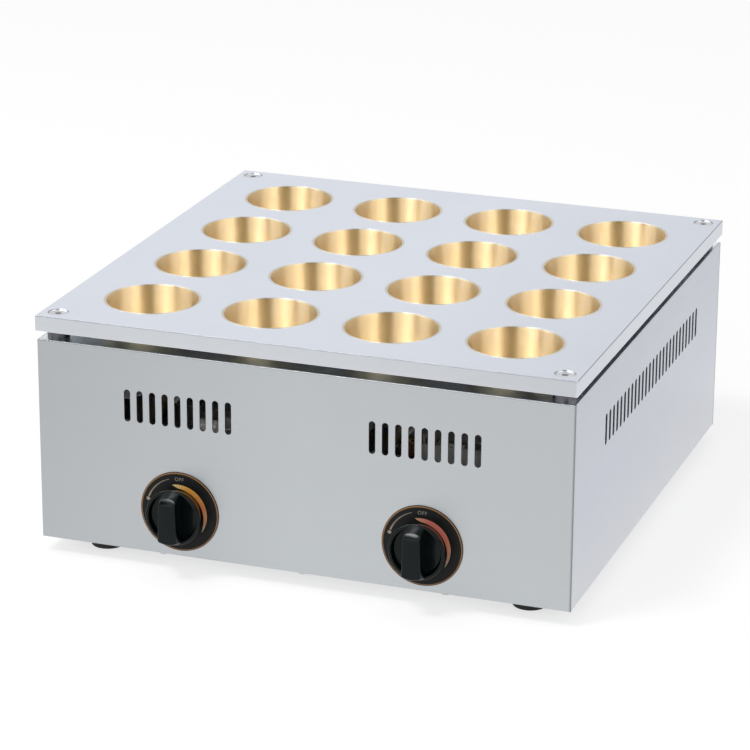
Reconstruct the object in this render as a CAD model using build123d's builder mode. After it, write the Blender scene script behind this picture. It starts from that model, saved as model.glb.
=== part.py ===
from build123d import *
from math import cos, radians, sin
import os

# An imagawayaki maker: a countertop gas cooker with brass cups in a thick steel plate.
# Lengths are in millimetres. +Z is up and the front faces -Y. The origin is on the table,
# under the middle of the plate.

os.makedirs("parts", exist_ok=True)

# Driving sizes of the whole cooker
body_width = 448.0
body_depth = 448.0
body_height = 170.0
plate_overhang = 1.0
plate_thickness = 13.0
plate_gap = 7.0
stand_height = 13.0
front_reach = 28.0  # how far the knobs stand out of the front, and the gas inlet out of the rear

# Sheet metal, clearances and cuts that many pieces share
sheet = 1.2
sheet_gap = 0.2
bend_radius = 0.9
seat_clearance = 0.05
turn_clearance = 0.05
overrun = 5.0

# Levels and faces that follow from the driving sizes
body_floor = stand_height
body_top = body_floor + body_height
plate_bottom = body_top + plate_gap
plate_top = plate_bottom + plate_thickness
base_bottom = body_floor + sheet
base_top = base_bottom + sheet
fold_bottom = body_top - sheet
half_width = body_width / 2
half_depth = body_depth / 2
inner_half_width = half_width - sheet
inner_half_depth = half_depth - 2 * sheet - sheet_gap
plate_width = body_width + 2 * plate_overhang
plate_depth = body_depth + 2 * plate_overhang

# Baking cups and their grid
cup_rows = 4
cup_border = 71.25  # from the plate's edge to the middle of the outer cups
cup_web = 27.5  # between the insides of two neighbouring cups
cup_wall = 1.5
cup_depth = 29.0
cup_floor = 2.0
cup_corner = 3.0
cup_flare = 0.6

# Plate screws and their spacers
plate_screw_inset = 14.0
plate_screw_radius = 4.0
plate_screw_length = 30.0
plate_screw_sink = 1.0
plate_screw_socket = 2.5
plate_screw_socket_depth = 3.5
plate_hole_radius = 4.5
plate_sink_radius = 8.5
plate_edge_radius = 0.8
spacer_radius = 9.0
spacer_bore = 4.5

# Folded covers
top_fold = 28.0
bottom_fold = 15.0
end_fold = 15.0

# Vent slots
slot_width = 5.4
front_slot_length = 27.0
front_slot_pitch = 10.81
front_slot_count = 9
front_slot_offset = 1.0
front_slot_drop = 47.0
side_slot_length = 26.0
side_slot_pitch = 10.8
side_slot_count = 27
side_slot_drop = 49.3
side_slot_shift = 4.5

# Corner posts
post_leg = 26.0
post_sheet = 2.0
post_block = 12.0

# Screws of the casing and the feet, all of one thread
small_screw_radius = 2.0
small_head_radius = 3.6
small_head_height = 2.4
small_hole_radius = 2.2
small_cross_length = 4.2
small_cross_width = 0.9
small_cross_depth = 1.2
casing_screw_length = 8.0
foot_screw_length = 13.0
casing_screw_spread = 120.0
rear_screw_spread = 48.0

# Base panel with its air slots
air_slot_length = 40.0
air_slot_width = 8.0
air_slot_pitch_x = 18.0
air_slot_pitch_y = 60.0
air_slot_columns = 7
air_slot_rows = 3
air_field_y = 20.0

# Feet
foot_inset_x = 43.0
foot_inset_y = 34.0
foot_top_radius = 15.0
foot_bottom_radius = 14.0
foot_pocket_radius = 5.0
foot_pocket_depth = 6.0
foot_edge_radius = 1.0

# Dials and knobs
valve_share = 0.2265  # of the body's height, up to the middle of the dials
dial_radius = 33.5
dial_thickness = 0.8
dial_hole_radius = 7.0
stem_hole_radius = 6.0
push_travel = 3.0
push_stop_gap = 0.8
knob_radius = 23.95
knob_back_radius = 20.3
knob_skirt = 11.4
knob_rim_fillet = 1.4
knob_back_fillet = 0.6
knob_dish_radius = 20.5
knob_dish_depth = 5.0
knob_bar_width = 16.4
knob_bar_end_inset = 1.25
knob_bar_end_slope = 4.2
knob_bar_fillet = 1.3
knob_wall = 6.0

# Gas valves
valve_inset = 10.0
valve_length = 56.0
valve_radius = 12.0
valve_front_wall = 4.0
valve_bore = 8.03
valve_hex_flat = 12.6
valve_hex_length = 14.0
port_back = 42.0
port_radius = 3.0
nipple_radius = 6.5
nipple_rise = 19.5
pilot_boss_back = 24.0
pilot_boss_radius = 4.0
spark_boss_back = 12.0
spark_boss_radius = 3.5
boss_rise = 15.5
boss_hole_depth = 5.0
plug_front_gap = 0.4
plug_length = 45.6
plug_recess_radius = 6.6
plug_recess_depth = 17.6
stem_radius = 4.0
stem_flat = 3.0
stem_seat_depth = 6.0
collar_radius = 6.2
collar_thickness = 2.0
collar_gap = 0.2
spring_radius = 5.1
spring_wire = 0.4
spring_pitch = 2.6
spring_end_gap = 0.05

# Injectors
injector_thread_length = 5.7
injector_hex_flat = 9.0
injector_hex_length = 6.0
injector_nose_radius = 5.0
injector_nose_length = 14.0
injector_nose_taper = 3.0
injector_bore = 2.5
injector_orifice = 0.6
injector_tip_wall = 2.0

# Gas manifold, its brackets and the rear inlet
manifold_rise = 29.5
manifold_radius = 8.6
manifold_bore = 6.5
manifold_left_end = 20.0
manifold_bend = 30.0
manifold_cap = 2.0
manifold_socket_radius = 9.0
manifold_socket_depth = 16.0
bracket_width = 24.0
bracket_sheet = 2.5
bracket_foot = 16.0
bracket_weld = 1.1
bracket_hole_reach = 7.0
bracket_hole_offset = 9.0
bracket_feed_y = 60.0
inlet_edge = 49.0
inlet_radius = 10.48
inlet_bore = 7.5
inlet_hex_flat = 13.5
inlet_hex_length = 12.0
inlet_tail_length = 28.0
inlet_socket_depth = 16.0
inlet_hole_radius = 10.9
inlet_tip_chamfer = 1.0
lock_nut_flat = 13.5
lock_nut_length = 7.0

# Burners
burner_share = 0.6  # of the body's height, up to the flame tubes
tube_radius = 12.0
tube_wall = 1.5
tube_end_room = 49.0
flame_slot_width = 1.5
flame_slot_length = 14.0
flame_slot_depth = 4.0
flame_slot_end = 15.5
flame_slot_count = 30
cross_radius = 9.0
cross_entry = 6.0
riser_cap = 11.0
riser_bend = 24.0
air_box_radius = 18.0
air_box_gap = 12.0
air_box_length = 28.0
air_box_flange = 20.0
air_box_nose_hole = 6.5
air_cone_length = 18.0
air_bead_width = 1.5
air_window_width = 12.0
air_window_length = 14.0
shutter_wall = 1.2
shutter_end_gap = 0.3
shutter_split = 2.0
shutter_tab_width = 8.0
shutter_tab_length = 8.0
shutter_tab_sheet = 1.4
shutter_tab_angle = -45.0
shutter_split_angle = -135.0

# Burner rails
rail_inset = 35.0
rail_sheet = 2.0
rail_low = 24.0
rail_high = 6.0
rail_flange = 12.0

# Pilot burners, their tubes, and the spark electrodes with their leads
pilot_plate_low = 11.0
pilot_plate_high = 2.5
pilot_sheet = 2.0
pilot_lug_length = 13.0
pilot_lug_back_length = 15.0
left_plate_outer = 31.75
left_plate_inner = 8.25
right_plate_outer = 81.75
right_plate_inner = 7.75
right_lug_offset = 57.75
lug_hole_radius = 1.4
left_nozzle_offset = 14.75
right_nozzle_offset = 74.55
nozzle_radius = 5.0
nozzle_high = 6.0
nozzle_hole_radius = 1.5
nozzle_hole_depth = 8.0
nozzle_stand_off = 7.0
pilot_tube_radius = 2.0
pilot_tube_low = 23.0
pilot_tube_bend = 6.0
ceramic_radius = 6.0
ceramic_length = 20.0
ceramic_edge = 0.8
spark_rod_radius = 0.8
spark_gap = 3.0
electrode_low = 4.0
left_electrode_stand_off = 9.0
right_electrode_set_back = 7.0
spark_rod_rise = 11.0
spark_rod_forward = 8.0
spark_rod_bend = 2.0
lead_radius = 1.5
lead_first_low = 29.0
lead_second_low = 18.0
lead_outreach = 15.0
lead_bend = 5.0

# Places that follow from the driving sizes
cup_pitch_x = (plate_width - 2 * cup_border) / (cup_rows - 1)
cup_pitch_y = (plate_depth - 2 * cup_border) / (cup_rows - 1)
cup_radius = (min(cup_pitch_x, cup_pitch_y) - cup_web) / 2
dial_reach = cup_pitch_x
front_slot_reach = dial_reach + front_slot_offset
foot_reach_x = half_width - foot_inset_x
foot_reach_y = half_depth - foot_inset_y
valve_height = body_floor + valve_share * body_height
burner_height = body_floor + burner_share * body_height
knob_back = half_depth + dial_thickness + push_travel + push_stop_gap
knob_rim = knob_back + knob_skirt
knob_front = half_depth + front_reach
valve_front = half_depth - valve_inset
valve_rear = valve_front - valve_length
port_reach = valve_front - port_back
pilot_boss_reach = valve_front - pilot_boss_back
spark_boss_reach = valve_front - spark_boss_back
nipple_top = valve_height + nipple_rise
boss_top = valve_height + boss_rise
manifold_height = valve_height + manifold_rise
manifold_socket_bottom = manifold_height - manifold_socket_depth
inlet_x = half_width - inlet_edge
plug_front = valve_front - valve_front_wall - plug_front_gap
plug_rear = plug_front - plug_length
recess_floor = plug_front - plug_recess_depth
stem_end = recess_floor - stem_seat_depth
socket_floor = stem_end - push_travel - push_stop_gap
collar_front = valve_front - valve_front_wall - collar_gap
collar_rear = collar_front - collar_thickness
screw_x = plate_width / 2 - plate_screw_inset
screw_y = plate_depth / 2 - plate_screw_inset
foot_height = base_bottom
tube_bore = tube_radius - tube_wall
tube_half_length = half_depth - tube_end_room
flame_slot_pitch = 2 * (tube_half_length - flame_slot_end) / (flame_slot_count - 1)
air_box_front = valve_rear - air_box_gap
air_box_rear = air_box_front - air_box_length
air_cone_rear = air_box_rear - air_cone_length
rail_reach = tube_half_length - rail_inset
left_tube_x = -cup_pitch_x / 2
right_tube_x = 3 * cup_pitch_x / 2
left_nozzle_x = left_tube_x - left_nozzle_offset
right_nozzle_x = right_tube_x - right_nozzle_offset
nozzle_y = -tube_half_length - nozzle_stand_off
nozzle_bottom = burner_height - pilot_plate_low
nozzle_top = burner_height + nozzle_high
electrode_height = burner_height - electrode_low
left_electrode_y = -tube_half_length - left_electrode_stand_off
right_electrode_y = -tube_half_length + right_electrode_set_back
row_shares = [index - (cup_rows - 1) / 2 for index in range(cup_rows)]
corner_names = {
    ("front", "left"): (-1, -1),
    ("front", "right"): (1, -1),
    ("rear", "left"): (-1, 1),
    ("rear", "right"): (1, 1),
}

right_plane = Plane((half_width, 0, 0), x_dir=(0, 1, 0), z_dir=(1, 0, 0))
left_plane = Plane((-half_width, 0, 0), x_dir=(0, -1, 0), z_dir=(-1, 0, 0))
front_plane = Plane.XZ.offset(half_depth)
rear_plane = Plane((0, half_depth, 0), x_dir=(-1, 0, 0), z_dir=(0, 1, 0))


def save(piece, name):
    """Label a finished piece and write its STEP file."""
    piece.label = name
    export_step(piece, f"parts/{name}.step")


def rod_x(y, z, radius, start, end, mode=Mode.ADD):
    """Add or cut a round rod along X between two places."""
    with Locations(((start + end) / 2, y, z)):
        Cylinder(radius, abs(end - start), rotation=(0, 90, 0), mode=mode)


def rod_y(x, z, radius, start, end, mode=Mode.ADD):
    """Add or cut a round rod along Y between two places."""
    with Locations((x, (start + end) / 2, z)):
        Cylinder(radius, abs(end - start), rotation=(90, 0, 0), mode=mode)


def rod_z(x, y, radius, start, end, mode=Mode.ADD):
    """Add or cut a round rod along Z between two places."""
    with Locations((x, y, (start + end) / 2)):
        Cylinder(radius, abs(end - start), mode=mode)


def block(x_span, y_span, z_span, mode=Mode.ADD):
    """Add or cut a box between two places on each axis."""
    spans = (x_span, y_span, z_span)
    with Locations([tuple(sum(span) / 2 for span in spans)]):
        Box(*[abs(span[1] - span[0]) for span in spans], mode=mode)


# Heating plate
with BuildPart() as heating_plate:
    with BuildSketch(Plane.XY.offset(plate_bottom)):
        Rectangle(plate_width, plate_depth)
        with GridLocations(cup_pitch_x, cup_pitch_y, cup_rows, cup_rows):
            Circle(cup_radius + cup_wall + seat_clearance, mode=Mode.SUBTRACT)
    extrude(amount=plate_thickness)
    top_edges = heating_plate.faces().sort_by(Axis.Z)[-1].edges()
    chamfer(top_edges.filter_by(GeomType.CIRCLE), length=cup_flare)
    top_edges = heating_plate.faces().sort_by(Axis.Z)[-1].edges()
    fillet(top_edges.filter_by(GeomType.LINE), radius=plate_edge_radius)
    with Locations(Plane.XY.offset(plate_top)):
        with GridLocations(2 * screw_x, 2 * screw_y, 2, 2):
            CounterSinkHole(plate_hole_radius, plate_sink_radius)
save(heating_plate.part, "heating_plate")


# Baking cups, each carried by the flared rim that lies in the plate's chamfer
def make_cup(x, y):
    """Return one cup, turned about the middle of its hole."""
    outer = cup_radius + cup_wall
    floor_bottom = -cup_depth - cup_floor
    outer_corner = cup_corner + cup_wall
    profile = [
        (0, -cup_depth),
        (cup_radius, -cup_depth),
        (cup_radius, 0),
        (outer + cup_flare, 0),
        (outer, -cup_flare),
        (outer, floor_bottom),
        (0, floor_bottom),
    ]
    radii = [0, cup_corner, 0, 0, 0, outer_corner, 0]
    with BuildPart() as cup:
        with BuildSketch(Plane((x, y, plate_top), x_dir=(1, 0, 0), z_dir=(0, -1, 0))):
            with BuildLine():
                FilletPolyline(*profile, radius=radii, close=True)
            make_face()
        revolve(axis=Axis((x, y, 0), (0, 0, 1)))
    return cup.part


for row, row_share in enumerate(row_shares, start=1):
    for column, column_share in enumerate(row_shares, start=1):
        cup_part = make_cup(column_share * cup_pitch_x, row_share * cup_pitch_y)
        save(cup_part, f"cup_r{row}_c{column}")


# Plate screws and the spacers round them
with BuildPart() as plate_screws:
    head_top = plate_top - plate_screw_sink
    head_radius = plate_sink_radius - plate_screw_sink - seat_clearance
    head_height = head_radius - plate_screw_radius
    with BuildSketch(Plane.XY.offset(head_top)):
        with GridLocations(2 * screw_x, 2 * screw_y, 2, 2):
            Circle(plate_screw_radius)
    extrude(amount=-plate_screw_length)
    with GridLocations(2 * screw_x, 2 * screw_y, 2, 2):
        with Locations((0, 0, head_top - head_height / 2)):
            Cone(plate_screw_radius, head_radius, head_height)
    with BuildSketch(Plane.XY.offset(head_top)):
        with GridLocations(2 * screw_x, 2 * screw_y, 2, 2):
            RegularPolygon(plate_screw_socket, 6, major_radius=False)
    extrude(amount=-plate_screw_socket_depth, mode=Mode.SUBTRACT)
save(plate_screws.part, "plate_screws")

with BuildPart() as plate_spacers:
    with BuildSketch(Plane.XY.offset(body_top)):
        with GridLocations(2 * screw_x, 2 * screw_y, 2, 2):
            Circle(spacer_radius)
            Circle(spacer_bore, mode=Mode.SUBTRACT)
    extrude(amount=plate_gap)
save(plate_spacers.part, "plate_spacers")


# Folded covers. A cover's plane has its local x along the sheet and its local y upwards.
def cover(plane, face_width, fold_width, low_fold_width, openings, end_folds):
    """Return a cover with its face on a plane and its folds behind it."""
    middle = body_floor + body_height / 2
    with BuildPart() as folded:
        with BuildSketch(plane):
            with Locations((0, middle)):
                Rectangle(face_width, body_height)
        extrude(amount=-sheet)
        with BuildSketch(plane):
            with Locations((0, body_top - sheet / 2)):
                Rectangle(fold_width, sheet)
        extrude(amount=-top_fold)
        with BuildSketch(plane):
            with Locations((0, body_floor + sheet / 2)):
                Rectangle(low_fold_width, sheet)
        extrude(amount=-bottom_fold)
        outer_edges = folded.faces().sort_by(Axis(plane.origin, plane.z_dir))[-1].edges()
        fillet(outer_edges.filter_by(Axis(plane.origin, plane.x_dir)), radius=bend_radius)
        if end_folds:
            with BuildSketch(plane):
                with Locations((0, middle)):
                    with GridLocations(face_width - sheet, 0, 2, 1):
                        Rectangle(sheet, body_height - 2 * sheet - 2 * sheet_gap)
            extrude(amount=-end_fold)
        with BuildSketch(plane):
            add(openings)
        extrude(amount=-2 * sheet, mode=Mode.SUBTRACT)
    return folded.part


def slot_row(count, pitch, length, place, drop):
    """Add a row of upright vent slots to the sketch in hand."""
    with Locations((place, body_top - drop)):
        with GridLocations(pitch, 0, count, 1):
            SlotOverall(length, slot_width, rotation=90)


with BuildSketch() as front_openings:
    for side in (-1, 1):
        slot_row(
            front_slot_count, front_slot_pitch, front_slot_length,
            side * front_slot_reach, front_slot_drop,
        )
        with Locations((side * dial_reach, valve_height)):
            Circle(stem_hole_radius)

with BuildSketch() as right_openings:
    slot_row(
        side_slot_count, side_slot_pitch, side_slot_length, side_slot_shift, side_slot_drop
    )

with BuildSketch() as left_openings:
    slot_row(
        side_slot_count, side_slot_pitch, side_slot_length, -side_slot_shift, side_slot_drop
    )

rear_screw_places = [
    (side * (half_width - end_fold / 2), body_floor + body_height / 2 + step * rear_screw_spread)
    for side in (-1, 1)
    for step in (-1, 0, 1)
]

with BuildSketch() as rear_openings:
    slot_row(side_slot_count, side_slot_pitch, side_slot_length, 0, side_slot_drop)
    with Locations((-inlet_x, manifold_height)):
        Circle(inlet_hole_radius)
    with Locations(*rear_screw_places):
        Circle(small_hole_radius)

side_face_width = 2 * (half_depth - sheet - sheet_gap)
long_fold_width = 2 * (inner_half_width - sheet_gap)
side_top_width = 2 * (half_depth - top_fold - sheet_gap)
side_low_width = 2 * (half_depth - bottom_fold - sheet_gap)

front_low_screws = [
    (step * casing_screw_spread, -half_depth + bottom_fold / 2) for step in (-1, 0, 1)
]
side_low_screws = [
    (half_width - bottom_fold / 2, step * casing_screw_spread) for step in (-1, 0, 1)
]
low_screw_places = (
    front_low_screws
    + [(x, -y) for x, y in front_low_screws]
    + side_low_screws
    + [(-x, y) for x, y in side_low_screws]
)
bracket_places = [(0, -port_reach), (inlet_x, bracket_feed_y)]
bracket_screw_places = [
    (x + side * bracket_hole_reach, y + bracket_hole_offset)
    for x, y in bracket_places
    for side in (-1, 1)
]
foot_places = [(x * foot_reach_x, y * foot_reach_y) for x, y in corner_names.values()]


def drill(places, radius, start, end):
    """Cut upright round holes through the piece in hand."""
    with Locations(*[(x, y, (start + end) / 2) for x, y in places]):
        Cylinder(radius, end - start, mode=Mode.SUBTRACT)


with BuildPart() as front_panel:
    add(cover(
        front_plane, body_width, long_fold_width, long_fold_width, front_openings.sketch, False
    ))
    drill([(-screw_x, -screw_y), (screw_x, -screw_y)], plate_hole_radius, fold_bottom, body_top)
    drill(front_low_screws, small_hole_radius, body_floor, base_bottom)
save(front_panel.part, "front_panel")

with BuildPart() as rear_panel:
    add(cover(
        rear_plane, body_width, long_fold_width, long_fold_width, rear_openings.sketch, False
    ))
    drill([(-screw_x, screw_y), (screw_x, screw_y)], plate_hole_radius, fold_bottom, body_top)
    drill([(x, -y) for x, y in front_low_screws], small_hole_radius, body_floor, base_bottom)
save(rear_panel.part, "rear_panel")


def side_cover(plane, side, openings):
    """Return a side cover, folded on all four edges."""
    with BuildPart() as side_part:
        add(cover(plane, side_face_width, side_top_width, side_low_width, openings, True))
        places = [(side * x, y) for x, y in side_low_screws]
        drill(places, small_hole_radius, body_floor, base_bottom)
        for x, z in rear_screw_places:
            rod_y(x, z, small_screw_radius + seat_clearance, 0, half_depth, Mode.SUBTRACT)
    return side_part.part


save(side_cover(right_plane, 1, right_openings.sketch), "right_side_panel")
save(side_cover(left_plane, -1, left_openings.sketch), "left_side_panel")


# Base panel
with BuildPart() as base_panel:
    with BuildSketch(Plane.XY.offset(base_bottom)):
        Rectangle(2 * (inner_half_width - sheet_gap), 2 * (inner_half_depth - sheet_gap))
        with Locations((-dial_reach, air_field_y), (dial_reach, air_field_y)):
            with GridLocations(
                air_slot_pitch_x, air_slot_pitch_y, air_slot_columns, air_slot_rows
            ):
                SlotOverall(air_slot_length, air_slot_width, rotation=90, mode=Mode.SUBTRACT)
        with Locations(*low_screw_places, *foot_places):
            Circle(small_screw_radius + seat_clearance, mode=Mode.SUBTRACT)
        with Locations(*bracket_screw_places):
            Circle(small_hole_radius, mode=Mode.SUBTRACT)
    extrude(amount=sheet)
save(base_panel.part, "base_panel")


# Corner posts: an angle with a tapped block at its top for the plate screw
def make_post(side, end):
    """Return the post at one corner, side and end being -1 or 1."""
    outer_x = side * inner_half_width
    outer_y = end * inner_half_depth
    inner_x = outer_x - side * post_leg
    inner_y = outer_y - end * post_leg
    with BuildPart() as post:
        block((outer_x, inner_x), (outer_y, outer_y - end * post_sheet), (base_top, fold_bottom))
        block((outer_x, outer_x - side * post_sheet), (outer_y, inner_y), (base_top, fold_bottom))
        block((outer_x, inner_x), (outer_y, inner_y), (fold_bottom - post_block, fold_bottom))
        rod_z(
            side * screw_x, end * screw_y, plate_screw_radius + seat_clearance,
            fold_bottom - post_block, fold_bottom, Mode.SUBTRACT,
        )
        if end > 0:
            for x, z in rear_screw_places:
                rod_y(
                    x, z, small_screw_radius + seat_clearance,
                    outer_y - post_sheet, outer_y, Mode.SUBTRACT,
                )
    return post.part


for (end_name, side_name), (side, end) in corner_names.items():
    save(make_post(side, end), f"corner_post_{end_name}_{side_name}")


# Pan-head screws with a cross recess, their heads pointing along a direction
def small_screw(x, y, z, length, tilt):
    """Add a screw whose head sits at a place, turned by tilt degrees about X."""
    head_middle = -small_head_height / 2
    recess_middle = -small_head_height + small_cross_depth / 2
    with Locations(Location((x, y, z), (tilt, 0, 0))):
        with Locations((0, 0, length / 2)):
            Cylinder(small_screw_radius, length)
        with Locations((0, 0, head_middle)):
            Cylinder(small_head_radius, small_head_height)
        with Locations((0, 0, recess_middle)):
            Box(small_cross_length, small_cross_width, small_cross_depth, mode=Mode.SUBTRACT)
            Box(small_cross_width, small_cross_length, small_cross_depth, mode=Mode.SUBTRACT)


with BuildPart() as casing_screws:
    for x, y in low_screw_places:
        small_screw(x, y, body_floor, casing_screw_length, 0)
    for x, y in bracket_screw_places:
        small_screw(x, y, base_bottom, casing_screw_length, 0)
    for x, z in rear_screw_places:
        small_screw(x, half_depth, z, casing_screw_length, 90)
save(casing_screws.part, "casing_screws")

with BuildPart() as foot_screws:
    for x, y in foot_places:
        small_screw(x, y, foot_pocket_depth, foot_screw_length, 0)
save(foot_screws.part, "foot_screws")


# Rubber feet
def make_foot(x, y):
    """Return one tapered foot with a pocket for its screw."""
    with BuildPart() as foot:
        with Locations((x, y, foot_height / 2)):
            Cone(foot_bottom_radius, foot_top_radius, foot_height)
        fillet(foot.edges().sort_by(Axis.Z)[0], radius=foot_edge_radius)
        rod_z(x, y, foot_pocket_radius, 0, foot_pocket_depth, Mode.SUBTRACT)
        rod_z(x, y, small_hole_radius, 0, foot_height, Mode.SUBTRACT)
    return foot.part


for (end_name, side_name), (side, end) in corner_names.items():
    save(make_foot(side * foot_reach_x, end * foot_reach_y), f"foot_{end_name}_{side_name}")


# Dials
def make_dial(x):
    """Return one dial disc, lying on the front panel."""
    with BuildPart() as dial:
        with BuildSketch(front_plane):
            with Locations((x, valve_height)):
                Circle(dial_radius)
                Circle(dial_hole_radius, mode=Mode.SUBTRACT)
        extrude(amount=dial_thickness)
    return dial.part


# Knobs: a round skirt with a dished face and a grip bar across it
def make_grip_bar(x):
    """Return the grip bar of one knob, narrowing towards the front and rounded all along."""
    bar_depth = knob_front - knob_rim + knob_rim_fillet
    bar_reach = knob_radius - knob_bar_end_inset
    with BuildPart() as bar:
        with Locations((x, -knob_front + bar_depth / 2, valve_height)):
            Box(knob_bar_width, bar_depth, 2 * bar_reach)
            Cone(
                bar_reach, bar_reach - knob_bar_end_slope, bar_depth,
                rotation=(90, 0, 0), mode=Mode.INTERSECT,
            )
        outer_edges = [
            edge for edge in bar.edges() if edge.center().Y < -knob_rim - knob_bar_fillet
        ]
        fillet(outer_edges, radius=knob_bar_fillet)
    return bar.part


def make_knob(x):
    """Return one knob, dished on both sides of its bar, with a flatted bore for its stem."""
    grip_bar = make_grip_bar(x)
    with BuildPart() as knob:
        with Locations((x, -knob_back - knob_skirt / 2, valve_height)):
            Cone(knob_back_radius, knob_radius, knob_skirt, rotation=(90, 0, 0))
        fillet(knob.edges().sort_by(Axis.Y)[0], radius=knob_rim_fillet)
        fillet(knob.edges().sort_by(Axis.Y)[-1], radius=knob_back_fillet)
        with BuildSketch(Plane.XZ.offset(knob_rim)):
            with Locations((x, valve_height)):
                Circle(knob_dish_radius)
                Rectangle(knob_bar_width, 2 * knob_dish_radius, mode=Mode.SUBTRACT)
        extrude(amount=-knob_dish_depth, mode=Mode.SUBTRACT)
        dish_floors = knob.faces().filter_by(Axis.Y).sort_by(Axis.Y)[1:3]
        fillet(dish_floors.edges(), radius=knob_rim_fillet)
        add(grip_bar)
        flatted_rod(x, seat_clearance, knob_back, knob_front - knob_wall, Mode.SUBTRACT)
    return knob.part


# Valve stems: a flatted rod with the collar that the spring pushes on
def flatted_rod(x, clearance, start, end, mode=Mode.ADD):
    """Add or cut a flatted rod along Y between two reaches in front of the middle."""
    with BuildSketch(Plane.XZ.offset(start)) as section:
        with Locations((x, valve_height)):
            Circle(stem_radius + clearance)
        with Locations((x + stem_flat + clearance + stem_radius, valve_height)):
            Rectangle(2 * stem_radius, 3 * stem_radius, mode=Mode.SUBTRACT)
    extrude(section.sketch, amount=end - start, mode=mode)


def make_stem(x):
    """Return one valve stem."""
    with BuildPart() as stem:
        flatted_rod(x, 0, stem_end, knob_front - knob_wall)
        rod_y(x, valve_height, collar_radius, -collar_front, -collar_rear)
    return stem.part


# Valve plugs: the turning cock, with its gas way pointing right while it is shut
def make_plug(x):
    """Return one plug with the recess for its spring and the socket for its stem."""
    with BuildPart() as plug:
        rod_y(x, valve_height, valve_bore - turn_clearance, -plug_front, -plug_rear)
        rod_y(x, valve_height, plug_recess_radius, -plug_front, -recess_floor, Mode.SUBTRACT)
        flatted_rod(x, seat_clearance, socket_floor, recess_floor, Mode.SUBTRACT)
        rod_x(-port_reach, valve_height, port_radius, x, x + valve_bore, Mode.SUBTRACT)
        rod_y(x, valve_height, port_radius, -port_reach - port_radius, -plug_rear, Mode.SUBTRACT)
    return plug.part


# Valve springs between the collar and the floor of the plug's recess
def make_spring(x):
    """Return one helical spring, round the stem."""
    first = -collar_rear + spring_wire + spring_end_gap
    height = collar_rear - recess_floor - 2 * (spring_wire + spring_end_gap)
    with BuildPart() as spring:
        with BuildLine() as wire:
            Helix(spring_pitch, height, spring_radius, (x, first, valve_height), (0, 1, 0))
        with BuildSketch(Plane(wire.edge() @ 0, z_dir=wire.edge() % 0)):
            Circle(spring_wire)
        sweep()
    return spring.part


# Valve bodies
def make_valve_body(x):
    """Return one valve body with its inlet nipple and its two top bosses."""
    cavity_front = valve_front - valve_front_wall
    with BuildPart() as valve:
        rod_y(x, valve_height, valve_radius, -valve_front, -valve_rear)
        with BuildSketch(Plane.XZ.offset(valve_rear)):
            with Locations((x, valve_height)):
                RegularPolygon(valve_hex_flat, 6, major_radius=False)
        extrude(amount=valve_hex_length)
        rod_z(x, -port_reach, nipple_radius, valve_height, nipple_top)
        rod_z(x, -pilot_boss_reach, pilot_boss_radius, valve_height, boss_top)
        rod_z(x, -spark_boss_reach, spark_boss_radius, valve_height, boss_top)
        rod_y(x, valve_height, valve_bore, -cavity_front, -valve_rear, Mode.SUBTRACT)
        rod_y(
            x, valve_height, stem_radius + turn_clearance,
            -valve_front, -cavity_front, Mode.SUBTRACT,
        )
        rod_z(x, -port_reach, port_radius, valve_height, nipple_top, Mode.SUBTRACT)
        hole_bottom = boss_top - boss_hole_depth
        rod_z(
            x, -pilot_boss_reach, pilot_tube_radius + seat_clearance,
            hole_bottom, boss_top, Mode.SUBTRACT,
        )
        rod_z(
            x, -spark_boss_reach, lead_radius + seat_clearance,
            hole_bottom, boss_top, Mode.SUBTRACT,
        )
    return valve.part


# Injectors: one in the rear of each valve body
with BuildPart() as injectors:
    thread_front = valve_rear + injector_thread_length
    hex_rear = valve_rear - injector_hex_length
    nose_tip = hex_rear - injector_nose_length
    nose_shoulder = nose_tip + injector_nose_taper
    for x in (-dial_reach, dial_reach):
        rod_y(x, valve_height, valve_bore - seat_clearance, -thread_front, -valve_rear)
        with BuildSketch(Plane.XZ.offset(hex_rear)):
            with Locations((x, valve_height)):
                RegularPolygon(injector_hex_flat, 6, major_radius=False)
        extrude(amount=injector_hex_length)
        rod_y(x, valve_height, injector_nose_radius, -hex_rear, -nose_shoulder)
        with Locations((x, -(nose_shoulder + nose_tip) / 2, valve_height)):
            Cone(
                injector_nose_radius - injector_nose_taper / 2, injector_nose_radius,
                injector_nose_taper, rotation=(90, 0, 0),
            )
        bore_end = nose_tip + injector_tip_wall
        rod_y(x, valve_height, injector_bore, -thread_front, -bore_end, Mode.SUBTRACT)
        rod_y(x, valve_height, injector_orifice, -bore_end, -nose_tip, Mode.SUBTRACT)
save(injectors.part, "injectors")


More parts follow.
